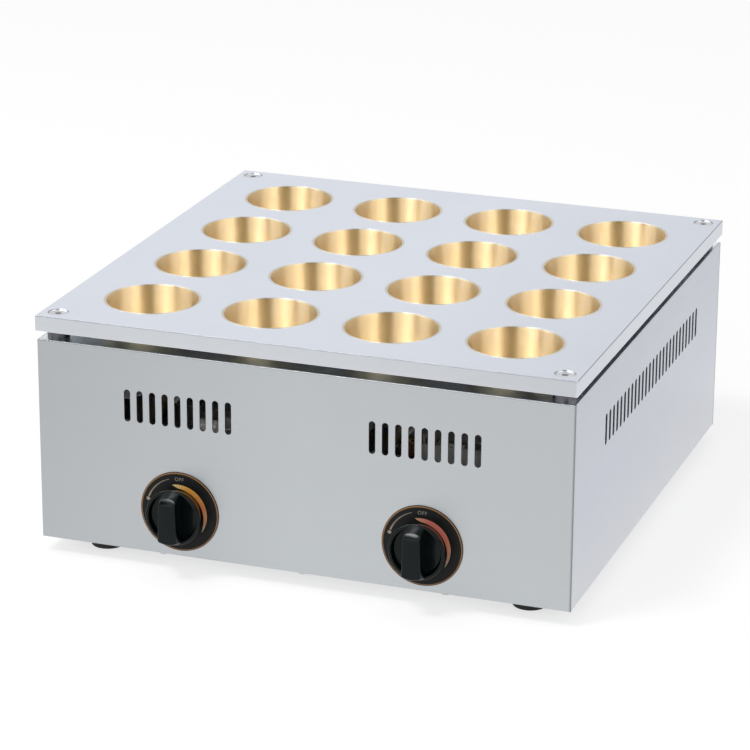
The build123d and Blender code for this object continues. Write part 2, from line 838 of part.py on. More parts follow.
# Gas manifold: a bent pipe with two valve sockets and two welded brackets
with BuildPart() as gas_manifold:
    pipe_start = (-dial_reach - manifold_left_end, -port_reach, manifold_height)
    pipe_corner = (inlet_x, -port_reach, manifold_height)
    inlet_front = half_depth - inlet_tail_length
    pipe_end = (inlet_x, inlet_front + inlet_socket_depth - sheet, manifold_height)
    with BuildLine():
        FilletPolyline(pipe_start, pipe_corner, pipe_end, radius=manifold_bend)
    with BuildSketch(Plane(pipe_start, z_dir=(1, 0, 0))):
        Circle(manifold_radius)
    sweep()
    for x in (-dial_reach, dial_reach):
        rod_z(x, -port_reach, manifold_socket_radius, manifold_socket_bottom, manifold_height)
    for x, y in bracket_places:
        x_span = (x - bracket_width / 2, x + bracket_width / 2)
        strap_rear = y + bracket_sheet / 2
        strap_top = manifold_height - manifold_radius + bracket_weld
        block(x_span, (y - bracket_sheet / 2, strap_rear), (base_top, strap_top))
        block(x_span, (strap_rear, strap_rear + bracket_foot), (base_top, base_top + bracket_sheet))
    drill(
        bracket_screw_places, small_screw_radius + seat_clearance,
        base_top, base_top + bracket_sheet,
    )
    bore_start = (pipe_start[0] + manifold_cap, -port_reach, manifold_height)
    with BuildLine():
        FilletPolyline(bore_start, pipe_corner, pipe_end, radius=manifold_bend)
    with BuildSketch(Plane(bore_start, z_dir=(1, 0, 0))):
        Circle(manifold_bore)
    sweep(mode=Mode.SUBTRACT)
    for x in (-dial_reach, dial_reach):
        rod_z(
            x, -port_reach, nipple_radius + seat_clearance,
            manifold_socket_bottom, manifold_height, Mode.SUBTRACT,
        )
save(gas_manifold.part, "gas_manifold")


# Gas inlet through the rear panel, and the nut that locks it from inside
with BuildPart() as gas_inlet:
    inlet_end = half_depth + front_reach
    rod_y(inlet_x, manifold_height, inlet_radius, inlet_front, inlet_end)
    chamfer(gas_inlet.edges().sort_by(Axis.Y)[-1], length=inlet_tip_chamfer)
    with BuildSketch(rear_plane):
        with Locations((-inlet_x, manifold_height)):
            RegularPolygon(inlet_hex_flat, 6, major_radius=False)
    extrude(amount=inlet_hex_length)
    rod_y(inlet_x, manifold_height, inlet_bore, inlet_front, inlet_end, Mode.SUBTRACT)
    rod_y(
        inlet_x, manifold_height, manifold_radius + seat_clearance,
        inlet_front, inlet_front + inlet_socket_depth, Mode.SUBTRACT,
    )
save(gas_inlet.part, "gas_inlet")

with BuildPart() as inlet_lock_nut:
    with BuildSketch(rear_plane.offset(-sheet)):
        with Locations((-inlet_x, manifold_height)):
            RegularPolygon(lock_nut_flat, 6, major_radius=False)
            Circle(inlet_radius + seat_clearance, mode=Mode.SUBTRACT)
    extrude(amount=-lock_nut_length)
save(inlet_lock_nut.part, "inlet_lock_nut")


# Round tubes along a bent route
def routed(points, radius, bends, mode=Mode.ADD):
    """Add or cut a round tube along straight runs joined by tangent arcs."""
    with BuildLine() as route:
        FilletPolyline(*points, radius=bends)
    start_plane = Plane(points[0], z_dir=Vector(points[1]) - Vector(points[0]))
    with BuildSketch(start_plane) as section:
        Circle(radius)
    sweep(section.sketch, path=route.wire(), mode=mode)


# Burner headers: air box, mixing tube with its riser, and cross tube
def header_tubes(x, shrink, mode):
    """Add or cut the round stretches of a header, each thinner by shrink."""
    rod_y(x, valve_height, air_box_radius - shrink, -air_box_front + shrink, -air_box_rear, mode)
    with Locations((x, -(air_box_rear + air_cone_rear) / 2, valve_height)):
        Cone(
            tube_radius - shrink, air_box_radius - shrink, air_box_rear - air_cone_rear,
            rotation=(90, 0, 0), mode=mode,
        )
    mixing_tube = [
        (x, -air_cone_rear, valve_height),
        (x, 0, valve_height),
        (x, 0, burner_height + riser_cap - shrink),
    ]
    routed(mixing_tube, tube_radius - shrink, riser_bend, mode)
    cross_half = cup_pitch_x / 2 - tube_radius + cross_entry
    rod_x(0, burner_height, cross_radius - shrink, x - cross_half, x + cross_half, mode)


def air_windows(x, reach):
    """Cut the four air windows through whatever is round the mixing tube's axis."""
    middle = -(air_box_front + air_box_rear) / 2
    y_span = (middle - air_window_length / 2, middle + air_window_length / 2)
    half = air_window_width / 2
    z = valve_height
    block((x - reach, x + reach), y_span, (z - half, z + half), Mode.SUBTRACT)
    block((x - half, x + half), y_span, (z - reach, z + reach), Mode.SUBTRACT)


def make_header(x):
    """Return one burner header."""
    bead_front = air_box_rear + air_bead_width
    flange_rear = air_box_front - air_bead_width
    with BuildPart() as header:
        header_tubes(x, 0, Mode.ADD)
        rod_y(x, valve_height, air_box_flange, -air_box_front, -flange_rear)
        rod_y(x, valve_height, air_box_flange, -bead_front, -air_box_rear)
        header_tubes(x, tube_wall, Mode.SUBTRACT)
        rod_y(
            x, valve_height, air_box_nose_hole,
            -air_box_front, -flange_rear + tube_wall, Mode.SUBTRACT,
        )
        air_windows(x, air_box_radius + overrun)
    return header.part


# Air shutters: split bands that turn on the air boxes
def turned_place(x, y, reach, angle):
    """Return the location at a reach and angle round a valve's axis, facing outwards."""
    turn = radians(angle)
    place = (x + reach * cos(turn), y, valve_height + reach * sin(turn))
    return Location(place, (0, -angle, 0))


def make_shutter(x):
    """Return one air shutter with its grip tab."""
    bore = air_box_radius + turn_clearance
    outer = bore + shutter_wall
    front = -(air_box_front - air_bead_width - shutter_end_gap)
    rear = -(air_box_rear + air_bead_width + shutter_end_gap)
    middle = (front + rear) / 2
    tab_length = shutter_wall + shutter_tab_length
    with BuildPart() as shutter:
        rod_y(x, valve_height, outer, front, rear)
        with Locations(turned_place(x, middle, bore + tab_length / 2, shutter_tab_angle)):
            Box(tab_length, shutter_tab_width, shutter_tab_sheet)
        rod_y(x, valve_height, bore, front, rear, Mode.SUBTRACT)
        air_windows(x, outer + overrun)
        with Locations(turned_place(x, middle, (bore + outer) / 2, shutter_split_angle)):
            Box(4 * shutter_wall, rear - front, shutter_split, mode=Mode.SUBTRACT)
    return shutter.part


# Burner tubes: one under each column of cups, open at the side where the header enters
with BuildPart() as burner_tubes:
    for share in row_shares:
        x = share * cup_pitch_x
        header_x = dial_reach if x > 0 else -dial_reach
        inward = 1 if header_x > x else -1
        rod_y(x, burner_height, tube_radius, -tube_half_length, tube_half_length)
        inner_half = tube_half_length - tube_wall
        rod_y(x, burner_height, tube_bore, -inner_half, inner_half, Mode.SUBTRACT)
        rod_x(
            0, burner_height, cross_radius + seat_clearance,
            x, x + inward * tube_radius, Mode.SUBTRACT,
        )
        slot_middle = burner_height + tube_radius - flame_slot_depth / 2
        with Locations((x, 0, slot_middle)):
            with GridLocations(0, flame_slot_pitch, 1, flame_slot_count):
                Box(
                    flame_slot_length, flame_slot_width, flame_slot_depth, mode=Mode.SUBTRACT
                )
save(burner_tubes.part, "burner_tubes")


# Burner rails: upright strips with a cradle for each tube and a flange at each end
with BuildPart() as burner_rails:
    for end in (-1, 1):
        rail_y = end * rail_reach
        y_span = (rail_y - rail_sheet / 2, rail_y + rail_sheet / 2)
        z_span = (burner_height - rail_low, burner_height - rail_high)
        block((-inner_half_width, inner_half_width), y_span, z_span)
        for side in (-1, 1):
            x_span = (side * inner_half_width, side * (inner_half_width - rail_sheet))
            block(x_span, (rail_y, rail_y - end * rail_flange), z_span)
        for share in row_shares:
            rod_y(
                share * cup_pitch_x, burner_height, tube_radius + seat_clearance,
                y_span[0], y_span[1], Mode.SUBTRACT,
            )
save(burner_rails.part, "burner_rails")


# Pilot burners: stamped plates on the tubes' front ends, with a lug for the electrode
plate_rear = -tube_half_length
plate_front = plate_rear - pilot_sheet
plate_z = (nozzle_bottom, burner_height + pilot_plate_high)
left_span = (left_tube_x - left_plate_outer, left_tube_x + left_plate_inner)
right_span = (right_tube_x - right_plate_outer, right_tube_x - right_plate_inner)
left_lug = (left_span[0], left_span[0] + pilot_sheet)
right_lug = (right_tube_x - right_lug_offset, right_tube_x - right_lug_offset + pilot_sheet)
with BuildPart() as pilot_burners:
    block(left_span, (plate_front, plate_rear), plate_z)
    block(left_lug, (plate_front - pilot_lug_length, plate_front), plate_z)
    rod_x(
        left_electrode_y, electrode_height, lug_hole_radius,
        left_lug[0], left_lug[1], Mode.SUBTRACT,
    )
    block(right_span, (plate_front, plate_rear), plate_z)
    block(right_lug, (plate_rear, plate_rear + pilot_lug_back_length), plate_z)
    rod_x(
        right_electrode_y, electrode_height, lug_hole_radius,
        right_lug[0], right_lug[1], Mode.SUBTRACT,
    )
save(pilot_burners.part, "pilot_burners")


# Pilot tubes, each with its nozzle brazed on
pilot_tube_level = burner_height - pilot_tube_low
with BuildPart() as pilot_tubes:
    for x, nozzle_x in ((-dial_reach, left_nozzle_x), (dial_reach, right_nozzle_x)):
        points = [
            (x, -pilot_boss_reach, boss_top - boss_hole_depth),
            (x, -pilot_boss_reach, pilot_tube_level),
            (nozzle_x, nozzle_y, pilot_tube_level),
            (nozzle_x, nozzle_y, nozzle_bottom + pilot_tube_radius),
        ]
        routed(points, pilot_tube_radius, pilot_tube_bend)
        rod_z(nozzle_x, nozzle_y, nozzle_radius, nozzle_bottom, nozzle_top)
        hole_bottom = nozzle_top - nozzle_hole_depth
        rod_z(nozzle_x, nozzle_y, nozzle_hole_radius, hole_bottom, nozzle_top, Mode.SUBTRACT)
save(pilot_tubes.part, "pilot_tubes")


# Ignition electrodes: a ceramic sleeve with its rod, and the leads that feed them
left_ceramic_end = left_lug[0] - ceramic_length
right_ceramic_end = right_lug[1] + ceramic_length
with BuildPart() as ignition_electrodes:
    rod_x(left_electrode_y, electrode_height, ceramic_radius, left_ceramic_end, left_lug[0])
    rod_x(right_electrode_y, electrode_height, ceramic_radius, right_lug[1], right_ceramic_end)
    fillet(ignition_electrodes.edges().filter_by(GeomType.CIRCLE), radius=ceramic_edge)
    left_rod_end = left_nozzle_x - nozzle_radius - spark_gap
    rod_x(left_electrode_y, electrode_height, spark_rod_radius, left_lug[0], left_rod_end)
    rod_corner_x = right_nozzle_x + nozzle_radius
    routed(
        [
            (right_lug[1], right_electrode_y, electrode_height),
            (rod_corner_x, right_electrode_y, electrode_height),
            (rod_corner_x, right_electrode_y, electrode_height + spark_rod_rise),
            (rod_corner_x, right_electrode_y - spark_rod_forward,
             electrode_height + spark_rod_rise),
        ],
        spark_rod_radius, spark_rod_bend,
    )
save(ignition_electrodes.part, "ignition_electrodes")

with BuildPart() as ignition_leads:
    lead_ends = (
        (-dial_reach, left_ceramic_end, -1, left_electrode_y),
        (dial_reach, right_ceramic_end, 1, right_electrode_y),
    )
    for x, ceramic_end, side, electrode_y in lead_ends:
        outer_x = ceramic_end + side * lead_outreach
        points = [
            (x, -spark_boss_reach, boss_top - boss_hole_depth),
            (x, -spark_boss_reach, burner_height - lead_first_low),
            (outer_x, electrode_y, burner_height - lead_second_low),
            (outer_x, electrode_y, electrode_height),
            (ceramic_end, electrode_y, electrode_height),
        ]
        routed(points, lead_radius, lead_bend)
save(ignition_leads.part, "ignition_leads")


# The pieces that each side has one of
for side_name, x in (("left", -dial_reach), ("right", dial_reach)):
    save(make_dial(x), f"dial_{side_name}")
    save(make_knob(x), f"knob_{side_name}")
    save(make_stem(x), f"valve_stem_{side_name}")
    save(make_plug(x), f"valve_plug_{side_name}")
    save(make_spring(x), f"valve_spring_{side_name}")
    save(make_valve_body(x), f"valve_body_{side_name}")
    save(make_header(x), f"burner_header_{side_name}")
    save(make_shutter(x), f"air_shutter_{side_name}")
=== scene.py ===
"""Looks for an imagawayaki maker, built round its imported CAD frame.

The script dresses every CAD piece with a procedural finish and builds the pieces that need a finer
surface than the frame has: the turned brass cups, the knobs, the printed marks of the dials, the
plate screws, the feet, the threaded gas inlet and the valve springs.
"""

import logging
import math
from dataclasses import dataclass
from enum import Enum

import bmesh
import bpy
from mathutils import Matrix, Vector


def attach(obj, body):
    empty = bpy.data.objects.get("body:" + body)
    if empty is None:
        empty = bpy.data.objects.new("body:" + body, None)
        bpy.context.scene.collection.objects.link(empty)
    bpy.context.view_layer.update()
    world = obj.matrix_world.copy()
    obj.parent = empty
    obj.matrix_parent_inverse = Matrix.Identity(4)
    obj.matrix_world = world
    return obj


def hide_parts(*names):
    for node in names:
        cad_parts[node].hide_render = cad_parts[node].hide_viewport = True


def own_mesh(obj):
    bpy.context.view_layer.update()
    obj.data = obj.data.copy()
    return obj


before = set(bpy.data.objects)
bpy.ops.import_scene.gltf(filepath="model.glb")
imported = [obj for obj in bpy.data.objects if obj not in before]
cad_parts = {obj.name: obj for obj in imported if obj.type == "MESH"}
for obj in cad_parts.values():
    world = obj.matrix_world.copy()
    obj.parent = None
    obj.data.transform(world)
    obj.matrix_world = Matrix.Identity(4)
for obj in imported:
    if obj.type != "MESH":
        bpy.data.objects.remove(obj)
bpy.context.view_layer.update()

LOG = logging.getLogger("imagawayaki_maker")
MM = 0.001
MERGE = 1e-7
ON_AXIS = 1e-6
SIDES = {"left": -1, "right": 1}
ENDS = {"front": -1, "rear": 1}
UPRIGHT = Matrix.Rotation(math.pi / 2, 4, "X")

Colour = tuple[float, float, float]
Point = tuple[float, float, float]
Outline = list[tuple[float, float]]
Stops = list[tuple[float, Colour]]
Socket = bpy.types.NodeSocket
Material = bpy.types.Material


class Axis(Enum):
    """The three axes of the object's frame."""

    X = (1.0, 0.0, 0.0)
    Y = (0.0, 1.0, 0.0)
    Z = (0.0, 0.0, 1.0)


class Join(Enum):
    """How two closed workpieces are made into one."""

    UNION = "UNION"
    CUT = "DIFFERENCE"
    OVERLAP = "INTERSECT"


class Layer(Enum):
    """How one colour is laid over another."""

    BLENDED = "MIX"
    TINTED = "MULTIPLY"


class Maths(Enum):
    """What a maths node works out."""

    ADD = "ADD"
    MULTIPLY = "MULTIPLY"
    MULTIPLY_ADD = "MULTIPLY_ADD"
    LARGEST = "MAXIMUM"


class Ink(Enum):
    """The inks on a dial, by their place among its materials."""

    RIM = 0
    CREAM = 1
    FLAME = 2


def grey(level: float) -> Colour:
    """Return a plain grey of one level."""
    return (level, level, level)


def even(cells: float) -> Point:
    """Return a pattern's scale that is the same along each axis."""
    return (cells, cells, cells)


def both(name: str) -> list[str]:
    """Return the names of the left and the right piece of a pair."""
    return [f"{name}_{side}" for side in SIDES]


def placed(name: str, data: bpy.types.ID) -> bpy.types.Object:
    """Return a new object of the scene that shows a mesh, curve, light or camera.

    Args:
        name: The object's name.
        data: What it shows.

    Returns:
        The object.
    """
    item = bpy.data.objects.new(name, data)
    bpy.context.scene.collection.objects.link(item)
    return item


# Finishes


class NodeGraph:
    """A node tree with short calls for its nodes and links."""

    def __init__(self, tree: bpy.types.NodeTree) -> None:
        """Take a tree to work on."""
        self.tree = tree

    def feed(self, target: bpy.types.Node, name: str | int, value: object) -> None:
        """Link another node's socket to one of a node's own, or set that one to a constant.

        Args:
            target: The node that is fed.
            name: Its socket's name or number.
            value: The other socket, or the constant.
        """
        socket = target.inputs[name]
        if isinstance(value, Socket):
            self.tree.links.new(value, socket)
        else:
            socket.default_value = (*value, 1.0) if socket.type == "RGBA" else value

    def node(
        self, kind: str, feeds: dict[str | int, object] | None = None, **settings: object
    ) -> bpy.types.Node:
        """Add a node.

        Args:
            kind: The node's type name, after ShaderNode.
            feeds: A socket or a constant for each of its inputs that is used.
            settings: Values for its plain properties.

        Returns:
            The new node.
        """
        made = self.tree.nodes.new("ShaderNode" + kind)
        for key, value in settings.items():
            setattr(made, key, value)
        for name, value in (feeds or {}).items():
            self.feed(made, name, value)
        return made

    def maths(self, kind: Maths, *values: Socket | float) -> Socket:
        """Return the result of a maths node on some values."""
        return self.node("Math", dict(enumerate(values)), operation=kind.value).outputs["Value"]


class Finish(NodeGraph):
    """A material with one principled shader and the patterns that the finishes share."""

    def __init__(self, name: str) -> None:
        """Start the material.

        Args:
            name: Its name.
        """
        self.material = bpy.data.materials.new(name)
        self.material.use_nodes = True
        super().__init__(self.material.node_tree)
        self.shader = self.tree.nodes["Principled BSDF"]
        self.place = self.node("TexCoord").outputs["Object"]

    def shaded(self, feeds: dict[str, object]) -> Material:
        """Feed the shader and return the material.

        Args:
            feeds: A socket or a constant for each of the shader's inputs that is used.

        Returns:
            The material.
        """
        for name, value in feeds.items():
            self.feed(self.shader, name, value)
        return self.material

    def noise(
        self, scale: Point, detail: float = 3.0, rough: float = 0.55, source: Socket | None = None
    ) -> Socket:
        """Return a noise value.

        Args:
            scale: Cells for each metre, along each axis.
            detail: How many finer layers it has.
            rough: How strong the finer layers are.
            source: Its coordinates; the object's own when left out.

        Returns:
            The value.
        """
        feeds = {"Scale": scale, "Vector": source or self.place}
        stretched = self.node("Mapping", feeds, vector_type="POINT").outputs["Vector"]
        feeds = {"Vector": stretched, "Scale": 1.0, "Detail": detail, "Roughness": rough}
        return self.node("TexNoise", feeds, noise_dimensions="3D").outputs["Fac"]

    def spread(
        self, value: Socket, low: float = 0.0, high: float = 1.0,
        start: float = 0.3, end: float = 0.7,
    ) -> Socket:
        """Return a value mapped from a range to another one.

        Args:
            value: The value to map.
            low: Result at the start of the range.
            high: Result at its end.
            start: Where the range begins.
            end: Where the range ends.

        Returns:
            The mapped value.
        """
        feeds = {"Value": value, "From Min": start, "From Max": end, "To Min": low, "To Max": high}
        return self.node("MapRange", feeds, clamp=True).outputs["Result"]

    def blend(
        self, share: Socket | float, first: Socket | Colour, second: Socket | Colour,
        way: Layer = Layer.BLENDED,
    ) -> Socket:
        """Return a colour between two.

        Args:
            share: How much of the second is in it, from 0 to 1.
            first: A colour or the socket of one.
            second: The same.
            way: How the second is laid over the first.

        Returns:
            The colour.
        """
        feeds = {"Factor": share, "A": first, "B": second}
        return self.node("Mix", feeds, data_type="RGBA", blend_type=way.value).outputs["Result"]

    def gradient(self, share: Socket, stops: Stops) -> Socket:
        """Return a colour from a ramp.

        Args:
            share: The place on the ramp, from 0 to 1.
            stops: Places on it with their colours.

        Returns:
            The colour.
        """
        ramp = self.node("ValToRGB", {"Fac": share})
        elements = ramp.color_ramp.elements
        while len(elements) < len(stops):
            elements.new(0.5)
        for element, (place, colour) in zip(elements, stops):
            element.position = place
            element.color = (*colour, 1.0)
        return ramp.outputs["Color"]

    def part(self, coordinates: Socket, axis: Axis) -> Socket:
        """Return one component of coordinates."""
        return self.node("SeparateXYZ", {"Vector": coordinates}).outputs[axis.name]

    def relief(self, height: Socket, depth: float) -> Socket:
        """Return the normal of a surface that rises by a depth in metres with a height value."""
        feeds = {"Strength": 1.0, "Distance": depth, "Height": height}
        return self.node("Bump", feeds).outputs["Normal"]


@dataclass(frozen=True)
class Metal:
    """A metal with a fine grain along one axis and soft drifts of tone.

    The grain is given as noise cells per metre along each axis, so the lowest one runs along it.
    Each fade names an axis and lists places along it, in metres, with the tint of each place; the
    fades lay painted light and painted shade over the colour.
    """

    name: str
    colour: Colour
    drift: Colour
    roughness: float
    roughness_drift: float = 0.05
    grain: Point = (60.0, 2600.0, 2600.0)
    grain_depth: float = 0.004 * MM
    blotch: float = 9.0
    streak: Point = (4.0, 220.0, 220.0)
    streak_share: float = 0.3
    metallic: float = 1.0
    tint_and_painted_light_fades: tuple[tuple[Axis, tuple[tuple[float, Colour], ...]], ...] = ()

    def build(self) -> Material:
        """Return the finish as a material.

        Returns:
            The material.
        """
        graph = Finish(self.name)
        grain = graph.noise(self.grain, 2.0)
        streak = graph.spread(graph.noise(self.streak, 2.0))
        blotch = graph.spread(graph.noise(even(self.blotch), 4.0, 0.6))
        feeds = {"Factor": self.streak_share, "A": blotch, "B": streak}
        tone = graph.node("Mix", feeds, data_type="FLOAT").outputs["Result"]
        colour = graph.blend(tone, self.colour, self.drift)
        # Each fade multiplies the colour by a ramp of tints along one axis: painted light and
        # painted shade, plus the plate's edge tint.
        for axis, fade in self.tint_and_painted_light_fades:
            start, end = fade[0][0], fade[-1][0]
            run = graph.spread(graph.part(graph.place, axis), 0.0, 1.0, start, end)
            stops = [((place - start) / (end - start), tint) for place, tint in fade]
            colour = graph.blend(1.0, colour, graph.gradient(run, stops), Layer.TINTED)
        low, high = self.roughness - self.roughness_drift, self.roughness + self.roughness_drift
        return graph.shaded({
            "Base Color": colour,
            "Roughness": graph.spread(grain, low, high),
            "Metallic": self.metallic,
            "Normal": graph.relief(grain, self.grain_depth),
        })


@dataclass(frozen=True)
class TurnedBrass:
    """Polished brass that was turned on a lathe, read from the cup's own wall map."""

    name: str = "turned_brass"
    colour: Colour = (0.92, 0.78, 0.54)
    drift: Colour = (0.90, 0.74, 0.47)
    rim: Colour = (0.62, 0.59, 0.52)
    rim_start: float = 202.62 * MM
    rim_full: float = 202.9 * MM
    smoothest: float = 0.36
    roughest: float = 0.45
    groove: Point = (3.0, 150.0, 1.0)
    groove_depth: float = 0.016 * MM
    cloud: float = 70.0

    def build(self) -> Material:
        """Return the finish as a material.

        Returns:
            The material.
        """
        graph = Finish(self.name)
        wall = graph.node("UVMap", uv_map=CupSet.WALL_MAP).outputs["UV"]
        groove = graph.noise(self.groove, source=wall)
        cloud = graph.spread(graph.noise(even(self.cloud), rough=0.6))
        height = graph.part(graph.place, Axis.Z)
        at_rim = graph.spread(height, 0.0, 1.0, self.rim_start, self.rim_full)
        turned = graph.blend(cloud, self.colour, self.drift)
        tangent = graph.node("Tangent", direction_type="UV_MAP", uv_map=CupSet.WALL_MAP)
        return graph.shaded({
            "Base Color": graph.blend(at_rim, turned, self.rim),
            "Roughness": graph.spread(groove, self.smoothest, self.roughest),
            "Metallic": 1.0,
            "Anisotropic": 1.0,
            "Anisotropic Rotation": 0.25,
            "Tangent": tangent.outputs["Tangent"],
            "Normal": graph.relief(groove, self.groove_depth),
        })


@dataclass(frozen=True)
class Moulding:
    """Moulded plastic, rubber or ceramic with a fine surface and a soft drift of tone."""

    name: str
    colour: Colour
    drift: Colour
    roughness: float
    roughness_drift: float
    pebble: float
    pebble_depth: float
    pebbles_in_cloud: float = 12.0
    coat: float = 0.0
    coat_roughness: float = 0.08
    specular: float = 0.5

    def build(self) -> Material:
        """Return the finish as a material.

        Returns:
            The material.
        """
        graph = Finish(self.name)
        pebble = graph.noise(even(self.pebble), 4.0, 0.6)
        cloud = graph.noise(even(self.pebble / self.pebbles_in_cloud))
        low, high = self.roughness - self.roughness_drift, self.roughness + self.roughness_drift
        return graph.shaded({
            "Base Color": graph.blend(graph.spread(cloud), self.colour, self.drift),
            "Roughness": graph.spread(cloud, low, high),
            "Specular IOR Level": self.specular,
            "Coat Weight": self.coat,
            "Coat Roughness": self.coat_roughness,
            "Normal": graph.relief(pebble, self.pebble_depth),
        })


@dataclass(frozen=True)
class PrintedInk:
    """Ink printed on a dial, whose colour runs along the mark's own map."""

    name: str
    stops: Stops
    smoothest: float = 0.42
    roughest: float = 0.58
    speckle: float = 1400.0
    speckle_depth: float = 0.004 * MM

    def build(self) -> Material:
        """Return the finish as a material.

        Returns:
            The material.
        """
        graph = Finish(self.name)
        run = graph.node("UVMap", uv_map=DialMarks.RUN_MAP).outputs["UV"]
        speckle = graph.noise(even(self.speckle))
        return graph.shaded({
            "Base Color": graph.gradient(graph.part(run, Axis.X), self.stops),
            "Roughness": graph.spread(speckle, self.smoothest, self.roughest),
            "Normal": graph.relief(speckle, self.speckle_depth),
        })


@dataclass(frozen=True)
class HeatedSteel:
    """Burner steel, straw and blue where the flames heat its upper side."""

    name: str = "heated_steel"
    colour: Colour = (0.52, 0.51, 0.49)
    straw: Colour = (0.50, 0.38, 0.22)
    blue: Colour = (0.20, 0.22, 0.32)
    straw_place: float = 0.45
    cool_level: float = 112 * MM
    hot_level: float = 130 * MM
    wander: float = 60.0
    wander_height: float = 6 * MM
    grain: Point = (900.0, 60.0, 900.0)
    grain_depth: float = 0.004 * MM
    smoothest: float = 0.32
    roughest: float = 0.44

    def build(self) -> Material:
        """Return the finish as a material.

        Returns:
            The material.
        """
        graph = Finish(self.name)
        wander = graph.noise(even(self.wander))
        height = graph.part(graph.place, Axis.Z)
        lifted = graph.maths(Maths.MULTIPLY_ADD, wander, self.wander_height, height)
        heat = graph.spread(lifted, 0.0, 1.0, self.cool_level, self.hot_level)
        stops = [(0.0, self.colour), (self.straw_place, self.straw), (1.0, self.blue)]
        grain = graph.noise(self.grain, 2.0)
        return graph.shaded({
            "Base Color": graph.gradient(heat, stops),
            "Roughness": graph.spread(grain, self.smoothest, self.roughest),
            "Metallic": 1.0,
            "Normal": graph.relief(grain, self.grain_depth),
        })


GROUND_STEEL = Metal(
    "ground_steel", (0.665, 0.695, 0.765), (0.635, 0.665, 0.735), 0.36, 0.04,
    grain=(80.0, 2200.0, 2200.0), streak=(5.0, 160.0, 160.0), blotch=7.0,
    tint_and_painted_light_fades=(
        # Painted shade and light along X: the top darkens towards its right edge, and the right
        # side face gets a painted highlight.
        (Axis.X, ((-0.22, grey(1.0)), (0.04, grey(1.0)), (0.2248, grey(0.91)),
                  (0.225, (1.08, 1.08, 1.11)))),
        # Along Z: the underside is brightened as painted light in the gap below the plate; the
        # edge faces take a warmer, slightly darker tint than the top; the top edge, the upper edge
        # faces and the screw countersinks are darkened to 0.42 as painted shade over their
        # highlights.
        (Axis.Z, ((0.19, grey(1.45)), (0.1903, (0.93, 0.92, 0.87)), (0.2021, (0.92, 0.91, 0.86)),
                  (0.2023, grey(0.42)), (0.20292, grey(0.42)), (0.203, grey(1.0)))),
    ),
)
FRONT_SHEET = Metal(
    "brushed_front_sheet", (0.515, 0.54, 0.56), (0.50, 0.525, 0.54), 0.34, 0.04,
    grain=(60.0, 2600.0, 2600.0), blotch=5.0,
    tint_and_painted_light_fades=(
        # Painted shade along X: darker towards the left end, and a dark line along the right
        # corner paints the seam's shadow.
        (Axis.X, ((-0.224, (0.88, 0.88, 0.885)), (0.0, grey(1.0)), (0.2226, grey(0.98)),
                  (0.2232, grey(0.4)), (0.224, grey(0.4)))),
        # Painted light and shade along Z: brighter towards the bottom, and darkened along the top
        # bend as painted shade over its highlight.
        (Axis.Z, ((0.013, grey(1.05)), (0.09, grey(1.01)), (0.1818, grey(0.97)),
                  (0.1823, grey(0.6)), (0.183, grey(0.6)))),
        # Painted light: the top flange's flat face under the plate is brightened 2.7 times.
        (Axis.Z, ((0.1829, grey(1.0)), (0.18299, grey(1.0)), (0.183, grey(2.7)))),
    ),
)
SIDE_SHEET = Metal(
    "brushed_side_sheet", (0.60, 0.615, 0.655), (0.58, 0.595, 0.635), 0.34, 0.04,
    grain=(2600.0, 60.0, 2600.0), streak=(220.0, 4.0, 220.0), blotch=5.0,
    tint_and_painted_light_fades=(
        # Painted light and shade along Z: brighter near the bottom, darker and slightly bluer
        # towards the top.
        (Axis.Z, ((0.013, (1.12, 1.12, 1.11)), (0.09, (0.97, 0.98, 1.02)),
                  (0.183, (0.86, 0.88, 0.90)))),
    ),
)
BASE_SHEET = Metal(
    "mill_sheet", (0.46, 0.47, 0.48), (0.42, 0.43, 0.44), 0.42, 0.06,
    grain=(2000.0, 50.0, 2000.0), blotch=14.0, metallic=0.6,
)
PLAIN_STEEL = Metal(
    "plain_steel", (0.50, 0.50, 0.51), (0.44, 0.44, 0.45), 0.38, 0.06,
    grain=(900.0, 900.0, 60.0), blotch=40.0,
)
SCREW_STEEL = Metal(
    "screw_steel", (0.62, 0.62, 0.64), (0.54, 0.54, 0.56), 0.45, 0.06,
    grain=even(1500.0), blotch=160.0,
)
# Painted shade: the plate spacers get a near-black steel colour for the shade in the gap under the
# plate.
DARK_STEEL = Metal(
    "shade_darkened_steel", (0.16, 0.16, 0.17), (0.10, 0.10, 0.11), 0.42, 0.08,
    grain=even(1500.0), blotch=160.0,
)
ZINC_PIPE = Metal(
    "zinc_pipe", (0.50, 0.51, 0.52), (0.42, 0.43, 0.42), 0.4, 0.08,
    grain=(60.0, 900.0, 900.0), blotch=90.0, streak_share=0.1, metallic=0.5,
)
VALVE_BRASS = Metal(
    "machined_brass", (0.72, 0.53, 0.24), (0.62, 0.43, 0.18), 0.3, 0.06,
    grain=(900.0, 4000.0, 900.0), blotch=70.0,
)
COPPER_TUBE = Metal(
    "drawn_copper", (0.78, 0.42, 0.26), (0.60, 0.30, 0.17), 0.32, 0.08,
    grain=even(500.0), blotch=120.0,
)
BURNER_STEEL = Metal(
    "aluminised_steel", (0.66, 0.66, 0.65), (0.56, 0.56, 0.55), 0.45, 0.06,
    grain=(900.0, 60.0, 900.0), blotch=30.0, metallic=0.2,
)
KNOB_PLASTIC = Moulding(
    "glossy_black_plastic", (0.001, 0.004, 0.004), (0.002, 0.006, 0.006), 0.15, 0.04,
    pebble=2500.0, pebble_depth=0.001 * MM, specular=0.19,
)
DIAL_PAINT = Moulding(
    "satin_black_paint", (0.006, 0.007, 0.006), (0.010, 0.011, 0.010), 0.42, 0.06,
    pebble=3000.0, pebble_depth=0.002 * MM, specular=0.18,
)
